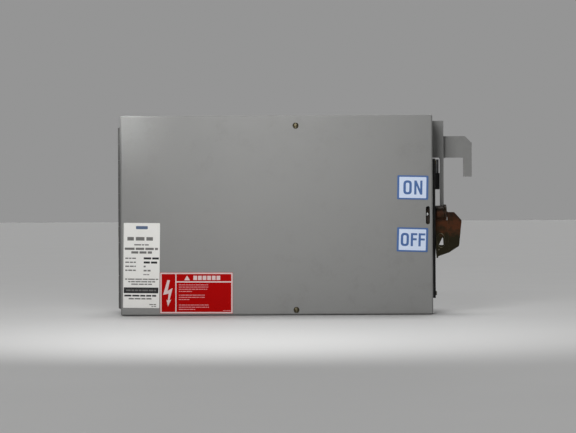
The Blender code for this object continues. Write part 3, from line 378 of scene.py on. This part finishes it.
def slab(bm, low, high):
    """A thin closed plate with chamfered front edges, for marks and ribs."""
    inset = min(high[0] - low[0], high[2] - low[2]) * 0.12
    back = rectangle(low[0], low[2], high[0], high[2])
    front = rectangle(low[0] + inset, low[2] + inset, high[0] - inset, high[2] - inset)
    loops = [[bm.verts.new((x, high[1], z)) for x, z in back],
             [bm.verts.new((x, low[1], z)) for x, z in front]]
    bm.faces.new(loops[0])
    bm.faces.new(loops[1])
    bands(bm, loops)


def mesh_from(name, bm):
    bmesh.ops.recalc_face_normals(bm, faces=bm.faces)
    mesh = bpy.data.meshes.new(name)
    bm.to_mesh(mesh)
    bm.free()
    return mesh


def placed(name, data, material):
    """A new object in the scene, with one material."""
    data.materials.append(material)
    made = bpy.data.objects.new(name, data)
    bpy.context.scene.collection.objects.link(made)
    return made


def piece(name, data, material, body):
    """A new piece of the model, riding on its body."""
    made = placed(name, data, material)
    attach(made, body)
    return made


def smooth(made):
    """Smooth shading that keeps the flats flat."""
    for polygon in made.data.polygons:
        polygon.use_smooth = True
    made.modifiers.new("normals", "WEIGHTED_NORMAL")


def solid(name, bm, material, body):
    """A new piece with smooth shading, from closed mesh work."""
    smooth(piece(name, mesh_from(name, bm), material, body))


# ---------------------------------------------------------------- finishes on the CAD nodes

# Widths of the small edge rounds; labels and cables have none.
EDGE_WIDTH = {"grey_paint": 0.00030, "dark_steel": 0.00030, "zinc_steel": 0.00020,
              "screw_steel": 0.00015, "bronze_plate": 0.00040, "black_moulding": 0.00050,
              "red_moulding": 0.00060, "copper": 0.00025, "aluminium": 0.00035}
# The hinge leaves and the interlock slide get darker copies of their finishes: painted shade.
OWN_FINISH = {"hinge_leaf_case": HINGE_PAINTED_SHADE, "hinge_leaf_cover": HINGE_PAINTED_SHADE,
              "interlock_slide": SLIDE_PLATE_PAINTED_SHADE}


def dress(name, node):
    """The node's own finish, and small edge rounds by modifier only."""
    slot = node.data.materials[0].name.split(".")[0]
    node.material_slots[0].material = OWN_FINISH.get(name, FINISHES[slot])
    if slot not in EDGE_WIDTH:
        return
    node.modifiers.new("weld", "WELD").merge_threshold = 1e-6
    flat = node.modifiers.new("flat", "DECIMATE")
    flat.decimate_type = "DISSOLVE"
    flat.angle_limit = math.radians(0.5)
    edge = node.modifiers.new("edges", "BEVEL")
    edge.width = EDGE_WIDTH[slot]
    edge.segments = 2
    edge.limit_method = "ANGLE"
    edge.angle_limit = math.radians(40.0)
    smooth(node)


for node_name, cad_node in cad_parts.items():
    dress(node_name, cad_node)

# ---------------------------------------------------------------- printed labels

INK = 0.00005                       # a printed layer's thickness
LETTER, SPACE = 0.62, 0.55          # widths of a letter and of a space, for a row of height 1


class Label:
    """A stuck-on label's own axes: u right and v up in millimetres from its centre."""

    def __init__(self, node, tilt_deg):
        self.node = node
        self.centre = middle(node)
        self.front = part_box(node)[0].y
        self.turn = math.radians(-tilt_deg)

    def at(self, u, v, layer):
        cosine, sine = math.cos(self.turn), math.sin(self.turn)
        return Vector((self.centre.x + (u * cosine - v * sine) * MM, self.front - layer * INK,
                       self.centre.z + (u * sine + v * cosine) * MM))

    def printed(self, name, faces, material, layer=0):
        """Flat shapes, each a list of (u, v), raised into thin closed plates."""
        bm = bmesh.new()
        for outline in faces:
            bm.faces.new([bm.verts.new(self.at(u, v, layer)) for u, v in outline])
        bmesh.ops.remove_doubles(bm, verts=bm.verts, dist=1e-7)
        grown = bmesh.ops.extrude_face_region(bm, geom=bm.faces[:])
        moved = [g for g in grown["geom"] if isinstance(g, bmesh.types.BMVert)]
        bmesh.ops.translate(bm, vec=(0.0, -INK, 0.0), verts=moved)
        piece(f"{self.node}_{name}", mesh_from(name, bm), material, "cover")


def letter_o(left, width, height, stroke):
    """A tall O, as the quads between two rounded outlines."""
    outer = rounded(rectangle(left, -height / 2, left + width, height / 2), width * 0.46, 8)
    inner = rounded(rectangle(left + stroke, stroke * 0.92 - height / 2, left + width - stroke,
                              height / 2 - stroke * 0.92), (width / 2 - stroke) * 0.92, 8)
    return ringed(outer, inner)


def letter_n(left, width, height, stroke):
    """An N, as two stems and a diagonal."""
    right, top, bottom = left + width, height / 2, -height / 2
    slant = stroke * 2.415              # the diagonal's height where it meets a stem
    return [rectangle(left, bottom, left + stroke, top),
            rectangle(right - stroke, bottom, right, top),
            [(left + stroke, top), (left + stroke, top - slant),
             (right - stroke, bottom), (right - stroke, bottom + slant)]]


def letter_f(left, width, height, stroke):
    """An F, as a stem and two arms."""
    top, bottom = height / 2, -height / 2
    return [rectangle(left, bottom, left + stroke, top),
            rectangle(left + stroke, top - stroke * 0.9, left + width, top),
            rectangle(left + stroke, -stroke * 0.25, left + width * 0.92, stroke * 0.65)]


def position_label(node, tilt_deg, letters):
    """White panel inside a blue border, and the position word in blue."""
    label = Label(node, tilt_deg)
    label.printed("panel", [rounded(rectangle(-21.6, -16.8, 21.6, 16.8), 0.8, 2)], PRINT_WHITE)
    label.printed("word", letters, FINISHES["label_blue"], layer=1)


def words(rng, left, right, centre, height, shortest=3, longest=9):
    """A row of plain bars from left to right, each as long as a word of so many letters."""
    faces = []
    start = left
    while start < right - height:
        end = min(right, start + rng.randint(shortest, longest) * height * LETTER)
        faces.append(rectangle(start, centre - height / 2, end, centre + height / 2))
        start = end + height * SPACE
    return faces


def nameplate():
    """Rating plate with all wording left out: plain bars in its rows, and a black band."""
    label = Label("nameplate", 0.8)
    rng = random.Random(4)

    def rows(*spans):
        """Each is left, right, middle, height and, if need be, the shortest and longest word."""
        return [bar for span in spans for bar in words(rng, *span)]

    label.printed("mark", [rounded(rectangle(-9.5, 58.0, 9.5, 63.0), 1.2, 3)], PRINT_SLATE)
    title = rows((-23.0, 24.5, 42.6, 5.6, 3, 5), (-27.0, 26.0, 26.6, 3.6, 5, 7),
                 (-16.5, 16.5, 20.8, 3.6, 5, 8))
    bold = rows((3.4, 27.6, 11.4, 3.2, 5, 6), (3.4, 27.6, 4.8, 3.2, 5, 6),
                (-27.0, 26.5, -48.4, 2.6, 3, 8))
    label.printed("bold_rows", bold, PRINT_BLACK)
    left_column = [(-26.0, -9.0, 11.4 - 6.4 * row, 2.0, 3, 6) for row in range(4)]
    footnote = [(-26.0 + 5.0 * row, 27.0 - 5.0 * row, -22.0 - 4.0 * row, 1.9) for row in range(3)]
    small = rows((-12.0, 12.5, 33.0, 2.0), *left_column, (3.4, 9.0, -1.6, 2.6, 2, 3),
                 (3.4, 18.0, -8.2, 2.6, 3, 4), (3.0, 12.5, -14.6, 1.4), *footnote,
                 (-20.0, 17.0, -53.2, 2.2), (13.0, 24.5, -62.4, 1.6), (16.5, 25.0, -65.4, 1.2))
    label.printed("small_rows", title + small, PRINT_GREY)
    label.printed("band", [rounded(rectangle(-28.0, -44.4, 27.2, -35.2), 0.3, 1)], PRINT_BLACK)
    label.printed("band_rows", rows((-24.5, 23.5, -39.8, 2.4, 3, 7)), PRINT_GREY, layer=1)


def safety_label():
    """Red sticker: a pale frame, a bolt arrow, a plain triangle, and blocks and bars for text."""
    label = Label("safety_label", 0.3)
    rng = random.Random(9)
    side, top, line = 55.7, 30.4, 2.2       # half sizes inside the frame, and the frame's width
    divider, heading = -32.0, 18.8          # right edge of the upright line, top of the level one
    lines = ringed(
        rounded(rectangle(-side - line, -top - line, side + line, top + line), 1.0, 2),
        rounded(rectangle(-side, -top, side, top), 0.6, 2))
    lines += [rectangle(divider - 1.8, -top, divider, top),
              rectangle(divider, heading - 2.0, side, heading)]
    label.printed("frame", lines, PRINT_PINK)
    bolt = [(-46.6, 20.6), (-42.4, 20.6), (-46.2, 3.6), (-38.2, 7.8), (-43.0, -11.4),
            (-40.4, -10.2), (-45.6, -21.6), (-47.9, -10.8), (-45.9, -11.9), (-44.5, -1.0),
            (-53.4, -3.0)]
    label.printed("bolt_arrow", [bolt], PRINT_PINK)
    triangle = rounded([(-19.6, 20.4), (-10.4, 20.4), (-15.0, 28.0)], 0.5, 2)
    label.printed("triangle", [triangle], PRINT_PINK)
    blocks = [rectangle(7.4 * i - 4.9, 20.8, 7.4 * i + 1.0, 27.6) for i in range(6)]
    label.printed("heading_blocks", blocks, PRINT_PINK)
    rows = []
    for first, count, right in ((13.0, 4, 18.8), (-3.4, 3, 13.2), (-19.2, 3, 21.0)):
        last = right - 14.0 - 3.0 * count
        for row in range(count):
            end = right if row < count - 1 else last
            rows += words(rng, -28.2, end, first - 3.5 * row, 1.2)
    rows += words(rng, 42.5, 55.0, -28.2, 1.0)
    label.printed("rows", rows, PRINT_ROSE)


position_label("on_label", 1.2, letter_o(-15.0, 13.4, 22.4, 3.9)
               + letter_n(2.4, 13.0, 22.4, 3.5))
position_label("off_label", 1.8, letter_o(-18.6, 13.0, 21.0, 3.8)
               + letter_f(-2.6, 10.2, 21.0, 3.6) + letter_f(9.8, 10.8, 21.0, 3.6))
nameplate()
safety_label()

# ---------------------------------------------------------------- cables

LINE_RADIUS, GROUND_RADIUS = 0.0045, 0.0030     # over the insulation
LUG_Y, LUG_TOP = 0.044, 0.2420                  # where a line cable goes into its lug


def smooth_route(points, spacing):
    """Points along a Catmull-Rom curve through the given points."""
    result = []
    padded = [points[0] * 2 - points[1]] + points + [points[-1] * 2 - points[-2]]
    for a, b, c, d in zip(padded, padded[1:], padded[2:], padded[3:]):
        steps = max(1, round((c - b).length / spacing))
        for i in range(steps):
            t = i / steps
            result.append(0.5 * ((2 * b) + (c - a) * t + (2 * a - 5 * b + 4 * c - d) * t * t
                                 + (3 * b - a - 3 * c + d) * t ** 3))
    result.append(points[-1])
    return result


def jacket(node, route, spacing, radius, slot):
    """A round cable along its route, in place of its CAD solid."""
    name = f"{node}_jacket"
    curve = bpy.data.curves.new(name, "CURVE")
    curve.dimensions = "3D"
    curve.bevel_depth = radius
    curve.bevel_resolution = 7
    curve.use_fill_caps = True
    points = smooth_route([Vector(p) for p in route], spacing)
    spline = curve.splines.new("POLY")
    spline.points.add(len(points) - 1)
    spline.use_smooth = True
    for knot, point in zip(spline.points, points):
        knot.co = (*point, 1.0)
    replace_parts(piece(name, curve, FINISHES[slot], "enclosure"), node)


def stab_tail(node):
    """Where a stab's cable starts, just in front of the middle of its front end."""
    spot = middle(node)
    return spot.x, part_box(node)[0].y - 0.0003, spot.z


def line_cables():
    """The three line cables, on the same routes as their CAD solids."""
    for i, phase in enumerate("abc"):
        x, y, z = stab_tail(f"line_stab_{phase}")
        lug_x = middle(f"line_lug_{phase}").x
        depth, height = 0.034 - 0.014 * i, 0.278 + 0.012 * i
        route = [(x, y, z), (x, y - 0.010, z), (x + 0.001, depth + 0.004, z + 0.006),
                 (x + 0.004, depth, z + 0.025), (x + 0.012, depth, height - 0.022),
                 (x + 0.034, depth, height), (lug_x - 0.034, depth + 0.006, height),
                 (lug_x - 0.008, 0.036, height - 0.010), (lug_x, LUG_Y, height - 0.026),
                 (lug_x, LUG_Y, LUG_TOP)]
        jacket(f"line_cable_{phase}", route, 0.003, LINE_RADIUS, "cable_black")


def ground_cable():
    """The green lead from the ground stab down into its hole in the ground bar."""
    x, y, z = stab_tail("ground_stab")
    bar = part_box("ground_bar")
    hole_x, hole_y = bar[0].x + 0.0225, bar[1].y - 0.0072
    route = [(x, y, z), (x, y - 0.008, z), (x + 0.002, y - 0.015, z - 0.008),
             (x + 0.008, y - 0.014, z - 0.024), (hole_x - 0.008, y + 0.010, z - 0.040),
             (hole_x, hole_y - 0.010, z - 0.052), (hole_x, hole_y, z - 0.064),
             (hole_x, hole_y, 0.0340)]
    jacket("ground_cable", route, 0.002, GROUND_RADIUS, "cable_green")


line_cables()
ground_cable()

# ---------------------------------------------------------------- screws, rivets and welds

# Turned shapes, as (height above the face, radius); the first two start a little below the face.
WELD = [(-0.0003, 0.0), (-0.0003, 0.0030), (0.00012, 0.0028), (0.00030, 0.0021), (0.00012, 0.0014),
        (0.00006, 0.0)]
RIVET = [(-0.0003, 0.0), (-0.0003, 0.0034), (0.0004, 0.0034), (0.0012, 0.0026), (0.0016, 0.0013),
         (0.0017, 0.0)]
SOCKET_SCREW = [(0.0, 0.0), (0.0, 0.0033), (0.0022, 0.0033), (0.0026, 0.0029), (0.0026, 0.0016),
                (0.0008, 0.0014), (0.0008, 0.0)]


SLOT = 0.16                     # half a slot's width, as a part of its head's radius


def slotted_head(bm, centre, along, radius, height):
    """A pan head on a level axis: a lower disc, and the two halves beside its upright slot."""
    lathe(bm, centre, along, [(0.0, 0.0), (0.0, radius), (height * 0.45, radius),
                              (height * 0.52, radius * 0.97), (height * 0.52, 0.0)])
    along, up = Vector(along), Vector(UP)
    side = along.cross(up)
    half_slot = radius * SLOT
    steps = 12
    start = math.asin(SLOT)
    sweep = [start + (math.pi - 2 * start) * k / steps for k in range(steps + 1)]
    for sign in (-1.0, 1.0):
        rim = [(math.cos(a) * radius * 0.97, math.sin(a) * radius * 0.97 * sign) for a in sweep]
        inner = half_slot * sign
        layers = [(height * 0.50, rim), (height * 0.80, [(0.96 * a, 0.965 * b) for a, b in rim]),
                  (height, [(0.80 * a, inner + 0.80 * (b - inner)) for a, b in rim])]
        loops = [[bm.verts.new(Vector(centre) + along * level + up * a + side * b)
                  for a, b in outline] for level, outline in layers]
        bm.faces.new(loops[0])
        bm.faces.new(loops[-1])
        bands(bm, loops)


def slotted_heads(name, centres, along, radius, height, slot, body="enclosure"):
    bm = bmesh.new()
    for centre in centres:
        slotted_head(bm, centre, along, radius, height)
    solid(name, bm, FINISHES[slot], body)


def discs(name, centres, along, profile, slot, body="enclosure", material=None, segments=24):
    """Turned details of one shape, such as rivets, weld dimples or ferrules."""
    bm = bmesh.new()
    for centre in centres:
        lathe(bm, centre, along, profile, segments)
    solid(name, bm, material or FINISHES[slot], body)


def shrunk(profile, factor):
    """The same heights at smaller radii."""
    return [(height, radius * factor) for height, radius in profile]


def release_screw():
    """The interlock's release screw, seen through the slot in the cover."""
    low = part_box("interlock_slide")[0]
    slotted_heads("release_screw", [(low.x + 0.0042, low.y, 0.1602)], FRONT, 0.0026, 0.0024,
                  "zinc_steel", "interlock")


def lug_screws():
    """Socket set screws in the breaker's lugs, and screws in the ground bar."""
    lugs = [middle(f"{kind}_lug_{phase}") for kind in ("line", "load") for phase in "abc"]
    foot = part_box("line_lug_a")[0].y + 0.0024
    discs("lug_set_screws", [(p.x, foot, p.z) for p in lugs], FRONT, SOCKET_SCREW, "zinc_steel",
          segments=12)
    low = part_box("ground_bar")[0]
    centres = [(low.x + 0.0075 + 0.015 * i, low.y, middle("ground_bar").z) for i in range(6)]
    slotted_heads("ground_bar_screws", centres, FRONT, 0.0036, 0.0024, "zinc_steel")


# ---------------------------------------------------------------- breaker

TOGGLE_SURROUND = 0.0055        # the toggle's surround stands this far proud of the breaker's face
PLATE, MARK = 0.0004, 0.00015   # thickness of a rating plate, and of the marks on it


def breaker_face():
    """The middle's x, the face's y, and the bottom and top of the breaker's cover."""
    low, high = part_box("breaker_cover")
    return middle("breaker_cover").x, low.y + TOGGLE_SURROUND, low.z, high.z


def breaker_screws():
    """One screw near each corner of the breaker's cover."""
    x, face, bottom, top = breaker_face()
    centres = [(x + offset, face, z) for offset in (-0.0455, 0.0455)
               for z in (bottom + 0.0070, top - 0.0070)]
    slotted_heads("breaker_cover_screws", centres, FRONT, 0.0030, 0.0016, "zinc_steel")


def rating_plates():
    """A blank plate at each end of the breaker, and rows of plain bars on them."""
    x, face, bottom, top = breaker_face()
    half_plate, half_bar = 0.030, 0.0006
    bm = bmesh.new()
    for low, high in ((top - 0.0125, top - 0.0025), (bottom + 0.0030, bottom + 0.0110)):
        slab(bm, (x - half_plate, face - PLATE, low), (x + half_plate, face, high))
    solid("breaker_rating_plates", bm, FINISHES["label_white"], "enclosure")
    rng = random.Random(21)
    bm = bmesh.new()
    for z in (top - 0.0045, top - 0.0075, top - 0.0105, bottom + 0.0085, bottom + 0.0055):
        start = x - 0.027
        while start < x + 0.022:
            end = start + rng.uniform(0.003, 0.007)
            slab(bm, (start, face - PLATE - MARK, z - half_bar), (end, face - PLATE, z + half_bar))
            start = end + 0.0011
    solid("breaker_rating_rows", bm, PRINT_BLACK, "enclosure")


def pole_ribs():
    """Two pairs of moulded ribs at each end, just outside the rating plates."""
    x, face, bottom, top = breaker_face()
    half_rib = 0.0003
    bm = bmesh.new()
    for rib in (x - 0.0329, x - 0.0315, x + 0.0315, x + 0.0329):
        for low, high in ((bottom + 0.0005, bottom + 0.0140), (top - 0.0140, top - 0.0005)):
            slab(bm, (rib - half_rib, face - 0.0005, low), (rib + half_rib, face + 0.0004, high))
    solid("breaker_pole_ribs", bm, FINISHES["black_moulding"], "enclosure")


# ---------------------------------------------------------------- sheet metal and contacts


def hinge_welds():
    """Spot welds on the hinge: a full row on the case's leaf, every second one on the cover's."""
    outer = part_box("front_cover")[0].x - 0.0014
    case_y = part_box("hinge_leaf_case")[1].y - 0.0065
    cover_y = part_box("hinge_leaf_cover")[0].y + 0.0055
    for node, body, y, step in (("hinge_leaf_case", "enclosure", case_y, 1),
                                ("hinge_leaf_cover", "cover", cover_y, 2)):
        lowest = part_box(node)[0].z + 0.0130
        centres = [(outer, y, lowest + 0.0265 * k) for k in range(0, 11, step)]
        # The welds take the hinge's finish, darkened as painted shade.
        discs(f"{node}_welds", centres, LEFT, WELD, "grey_paint", body, HINGE_PAINTED_SHADE)


def back_fasteners():
    """Rivets of the mounting pan and the ground bar, and the stab insulator's screws."""
    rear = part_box("enclosure_body")[1].y
    low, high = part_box("mounting_pan")
    centres = [(x, rear, z) for x in (low.x + 0.006, high.x - 0.006)
               for z in (low.z + 0.018, high.z - 0.018)]
    low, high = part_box("ground_bar")
    centres += [(x, rear, middle("ground_bar").z) for x in (low.x + 0.004, high.x - 0.004)]
    discs("rear_rivets", centres, REAR, RIVET, "zinc_steel")
    low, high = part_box("stab_insulator")
    centres = [(x, high.y, z) for x in (low.x + 0.0130, high.x - 0.0130)
               for z in (low.z + 0.0110, high.z - 0.0110)]
    slotted_heads("insulator_screws", centres, REAR, 0.0036, 0.0020, "zinc_steel")


def side_fasteners():
    """Screws on the mechanism channel, and spot welds on the guard bracket and the catch."""
    low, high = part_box("mechanism_channel")
    centres = [(high.x, y, z) for y in (low.y + 0.0085, high.y - 0.0085)
               for z in (low.z + 0.0075, high.z - 0.0062)]
    slotted_heads("channel_screws", centres, RIGHT, 0.0036, 0.0022, "screw_steel")
    low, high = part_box("guard_bracket")
    sheet = 0.0025
    centres = [(low.x + sheet, high.y - 0.0145, low.z + z) for z in (0.090, 0.111, 0.132)]
    discs("guard_welds", centres, RIGHT, WELD, "grey_paint")
    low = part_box("cover_catch")[0]
    centres = [(low.x + 0.003 + 0.0048 * k, low.y + 0.0015, low.z + 0.0165) for k in range(2)]
    discs("catch_welds", centres, REAR, shrunk(WELD, 0.65), "zinc_steel", "cover")


def ferrules():
    """Crimped sleeves where the cables meet the tails of the stabs."""
    for node, cable in (("line_stab_a", LINE_RADIUS), ("line_stab_b", LINE_RADIUS),
                        ("line_stab_c", LINE_RADIUS), ("ground_stab", GROUND_RADIUS)):
        radius = cable + 0.0009
        spot = middle(node)
        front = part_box(node)[0].y
        profile = [(0.0003, 0.0), (0.0003, radius), (0.0022, radius), (0.0028, radius * 0.93),
                   (0.0044, radius * 0.93), (0.0050, radius), (0.0075, radius),
                   (0.0082, radius * 0.95), (0.0082, 0.0)]
        discs(f"{node}_ferrule", [(spot.x, front, spot.z)], FRONT, profile, "copper")


# ---------------------------------------------------------------- lever

LEVER_SWING = math.radians(60.0)    # the resting lever hangs this far below level
LEVER_FACE = 0.0105                 # from the shaft's centre line to its outer face
FOLD_X = 0.2765                     # where its side is folded over


class Lever:
    """The resting lever's own axes: x, distance along it from the shaft, and across it."""

    def __init__(self):
        self.shaft = middle("handle_shaft")
        cosine, sine = math.cos(LEVER_SWING), math.sin(LEVER_SWING)
        self.down = Vector((0.0, -cosine, -sine))
        self.out = Vector((0.0, -sine, cosine))

    def at(self, x, along, across):
        return Vector((x, self.shaft.y, self.shaft.z)) + self.down * along + self.out * across


def lock_hole_rim(lever):
    """A pressed oval rim round the three-cornered hole."""
    centre_x, centre_along = 0.2642, 0.0550
    half_x, half_along = 0.0062, 0.0125
    steps = 40
    turns = [2 * math.pi * k / steps for k in range(steps)]
    bm = bmesh.new()
    loops = []
    for grow, rise in ((0.0, -0.0003), (0.0001, 0.0003), (0.0005, 0.0005), (0.0009, 0.0003),
                       (0.0010, -0.0003)):
        loops.append([bm.verts.new(lever.at(centre_x + (half_x + grow) * math.cos(a),
                                            centre_along + (half_along + grow) * math.sin(a),
                                            LEVER_FACE + rise)) for a in turns])
    bands(bm, loops + loops[:1])
    solid("lock_hole_rim", bm, RIM_METAL, "handle")


def fold_bead(lever):
    """The raised bead along the lever's fold, fading out at both ends."""
    bm = bmesh.new()
    loops = [[bm.verts.new(lever.at(FOLD_X + x, along, LEVER_FACE + across))
              for x, across in ((-0.0006, -0.0002), (0.0, rise), (0.0006, -0.0002))]
             for along, rise in ((0.0190, 0.0), (0.0200, 0.00035), (0.0720, 0.00035),
                                 (0.0735, 0.0))]
    bm.faces.new(loops[0])
    bm.faces.new(loops[-1])
    bands(bm, loops)
    solid("lever_fold_bead", bm, FINISHES["bronze_plate"], "handle")


def lever_details():
    """The hole's rim, the fold's bead, a rivet, and the screw in the shaft's end."""
    lever = Lever()
    lock_hole_rim(lever)
    fold_bead(lever)
    discs("lever_rivet", [lever.at(0.2602, 0.0725, LEVER_FACE)], lever.out, shrunk(RIVET, 0.42),
          "bronze_plate", "handle", RIM_METAL)
    tip = (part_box("handle_shaft")[1].x, lever.shaft.y, lever.shaft.z)
    slotted_heads("shaft_screw", [tip], RIGHT, 0.0046, 0.0020, "screw_steel", "handle")


release_screw()
lug_screws()
breaker_screws()
rating_plates()
pole_ribs()
hinge_welds()
back_fasteners()
side_fasteners()
ferrules()
lever_details()

# ---------------------------------------------------------------- floor, light and camera

FLOOR_RADIUS, FLOOR_THICK = 60.0, 0.02
FLOOR_GAP = 0.0006                      # a little under the case, so that no faces coincide
WHITE = (1.0, 1.0, 1.0, 1.0)
DOME_FRONT, DOME_REAR = 0.035, 0.60     # the room's light from the camera's side, and from behind
BACKDROP = 0.300                        # what the camera sees past the floor
CAMERA_AWAY = 3.0                       # from the cover's face
VIEW_RIGHT, VIEW_HEIGHT = 0.0182, 0.1576    # right of the cover's middle, and above the floor
LENS = 117.2                            # focal length in millimetres
ROLL = math.radians(0.3)


def floor():
    """A wide pale disc under the object."""
    bm = bmesh.new()
    profile = [(-FLOOR_THICK, 0.0), (-FLOOR_THICK, FLOOR_RADIUS), (0.0, FLOOR_RADIUS), (0.0, 0.0)]
    lathe(bm, (0.0, 0.0, -FLOOR_GAP), UP, profile, segments=96)
    placed("floor", mesh_from("floor", bm), pale_floor())


def room():
    """A soft dome that brightens towards the back, and a plain backdrop for the camera."""
    world = bpy.data.worlds.new("studio")
    world.use_nodes = True
    tree = world.node_tree
    seen = add(tree, "LightPath").outputs["Is Camera Ray"]
    toward = add(tree, "SeparateXYZ", {0: add(tree, "TexCoord").outputs["Generated"]}).outputs["Y"]
    dome = add(tree, "MapRange", {"Value": toward, "From Min": 0.0, "From Max": 1.0,
                                  "To Min": DOME_FRONT, "To Max": DOME_REAR}).outputs["Result"]
    lit = add(tree, "Background", {"Color": WHITE, "Strength": dome})
    backdrop = add(tree, "Background", {"Color": WHITE, "Strength": BACKDROP})
    both = add(tree, "MixShader", {0: seen, 1: lit.outputs[0], 2: backdrop.outputs[0]})
    tree.links.new(both.outputs[0], tree.nodes["World Output"].inputs[0])
    bpy.context.scene.world = world
    bpy.context.scene.view_settings.view_transform = "Standard"


def light(name, kind, place, target, power):
    """A lamp at one place that points at another."""
    lamp = bpy.data.lights.new(name, kind)
    lamp.energy = power
    made = bpy.data.objects.new(name, lamp)
    bpy.context.scene.collection.objects.link(made)
    made.location = place
    made.rotation_euler = (Vector(target) - Vector(place)).to_track_quat("-Z", "Y").to_euler()
    return lamp


def lights():
    """A soft key in front, a faint one on the cover's corner, and a broad one from above."""
    key = light("key", "AREA", (-0.10, -1.05, 0.64), (0.04, -0.10, 0.14), 3.30)
    key.shape = "RECTANGLE"
    key.size = 0.36
    key.size_y = 0.56
    key.spread = math.radians(120.0)
    corner = light("corner", "AREA", (-0.36, -0.42, 0.62), (-0.252, -0.10, 0.332), 0.022)
    corner.size = 0.06
    corner.spread = math.radians(18.0)
    above = light("above", "SUN", (0.0, 1.0, 4.0), (0.0, 0.0, 0.0), 1.15)
    above.angle = math.radians(28.0)


def camera():
    """Straight on to the cover, level with the middle of the picture."""
    lens = bpy.data.cameras.new("camera")
    lens.lens = LENS
    made = bpy.data.objects.new("camera", lens)
    bpy.context.scene.collection.objects.link(made)
    made.location = (middle("front_cover").x + VIEW_RIGHT,
                     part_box("front_cover")[0].y - CAMERA_AWAY, VIEW_HEIGHT)
    made.rotation_euler = (math.radians(90.0), ROLL, 0.0)
    bpy.context.scene.camera = made


floor()
room()
lights()
camera()

bpy.context.view_layer.update()
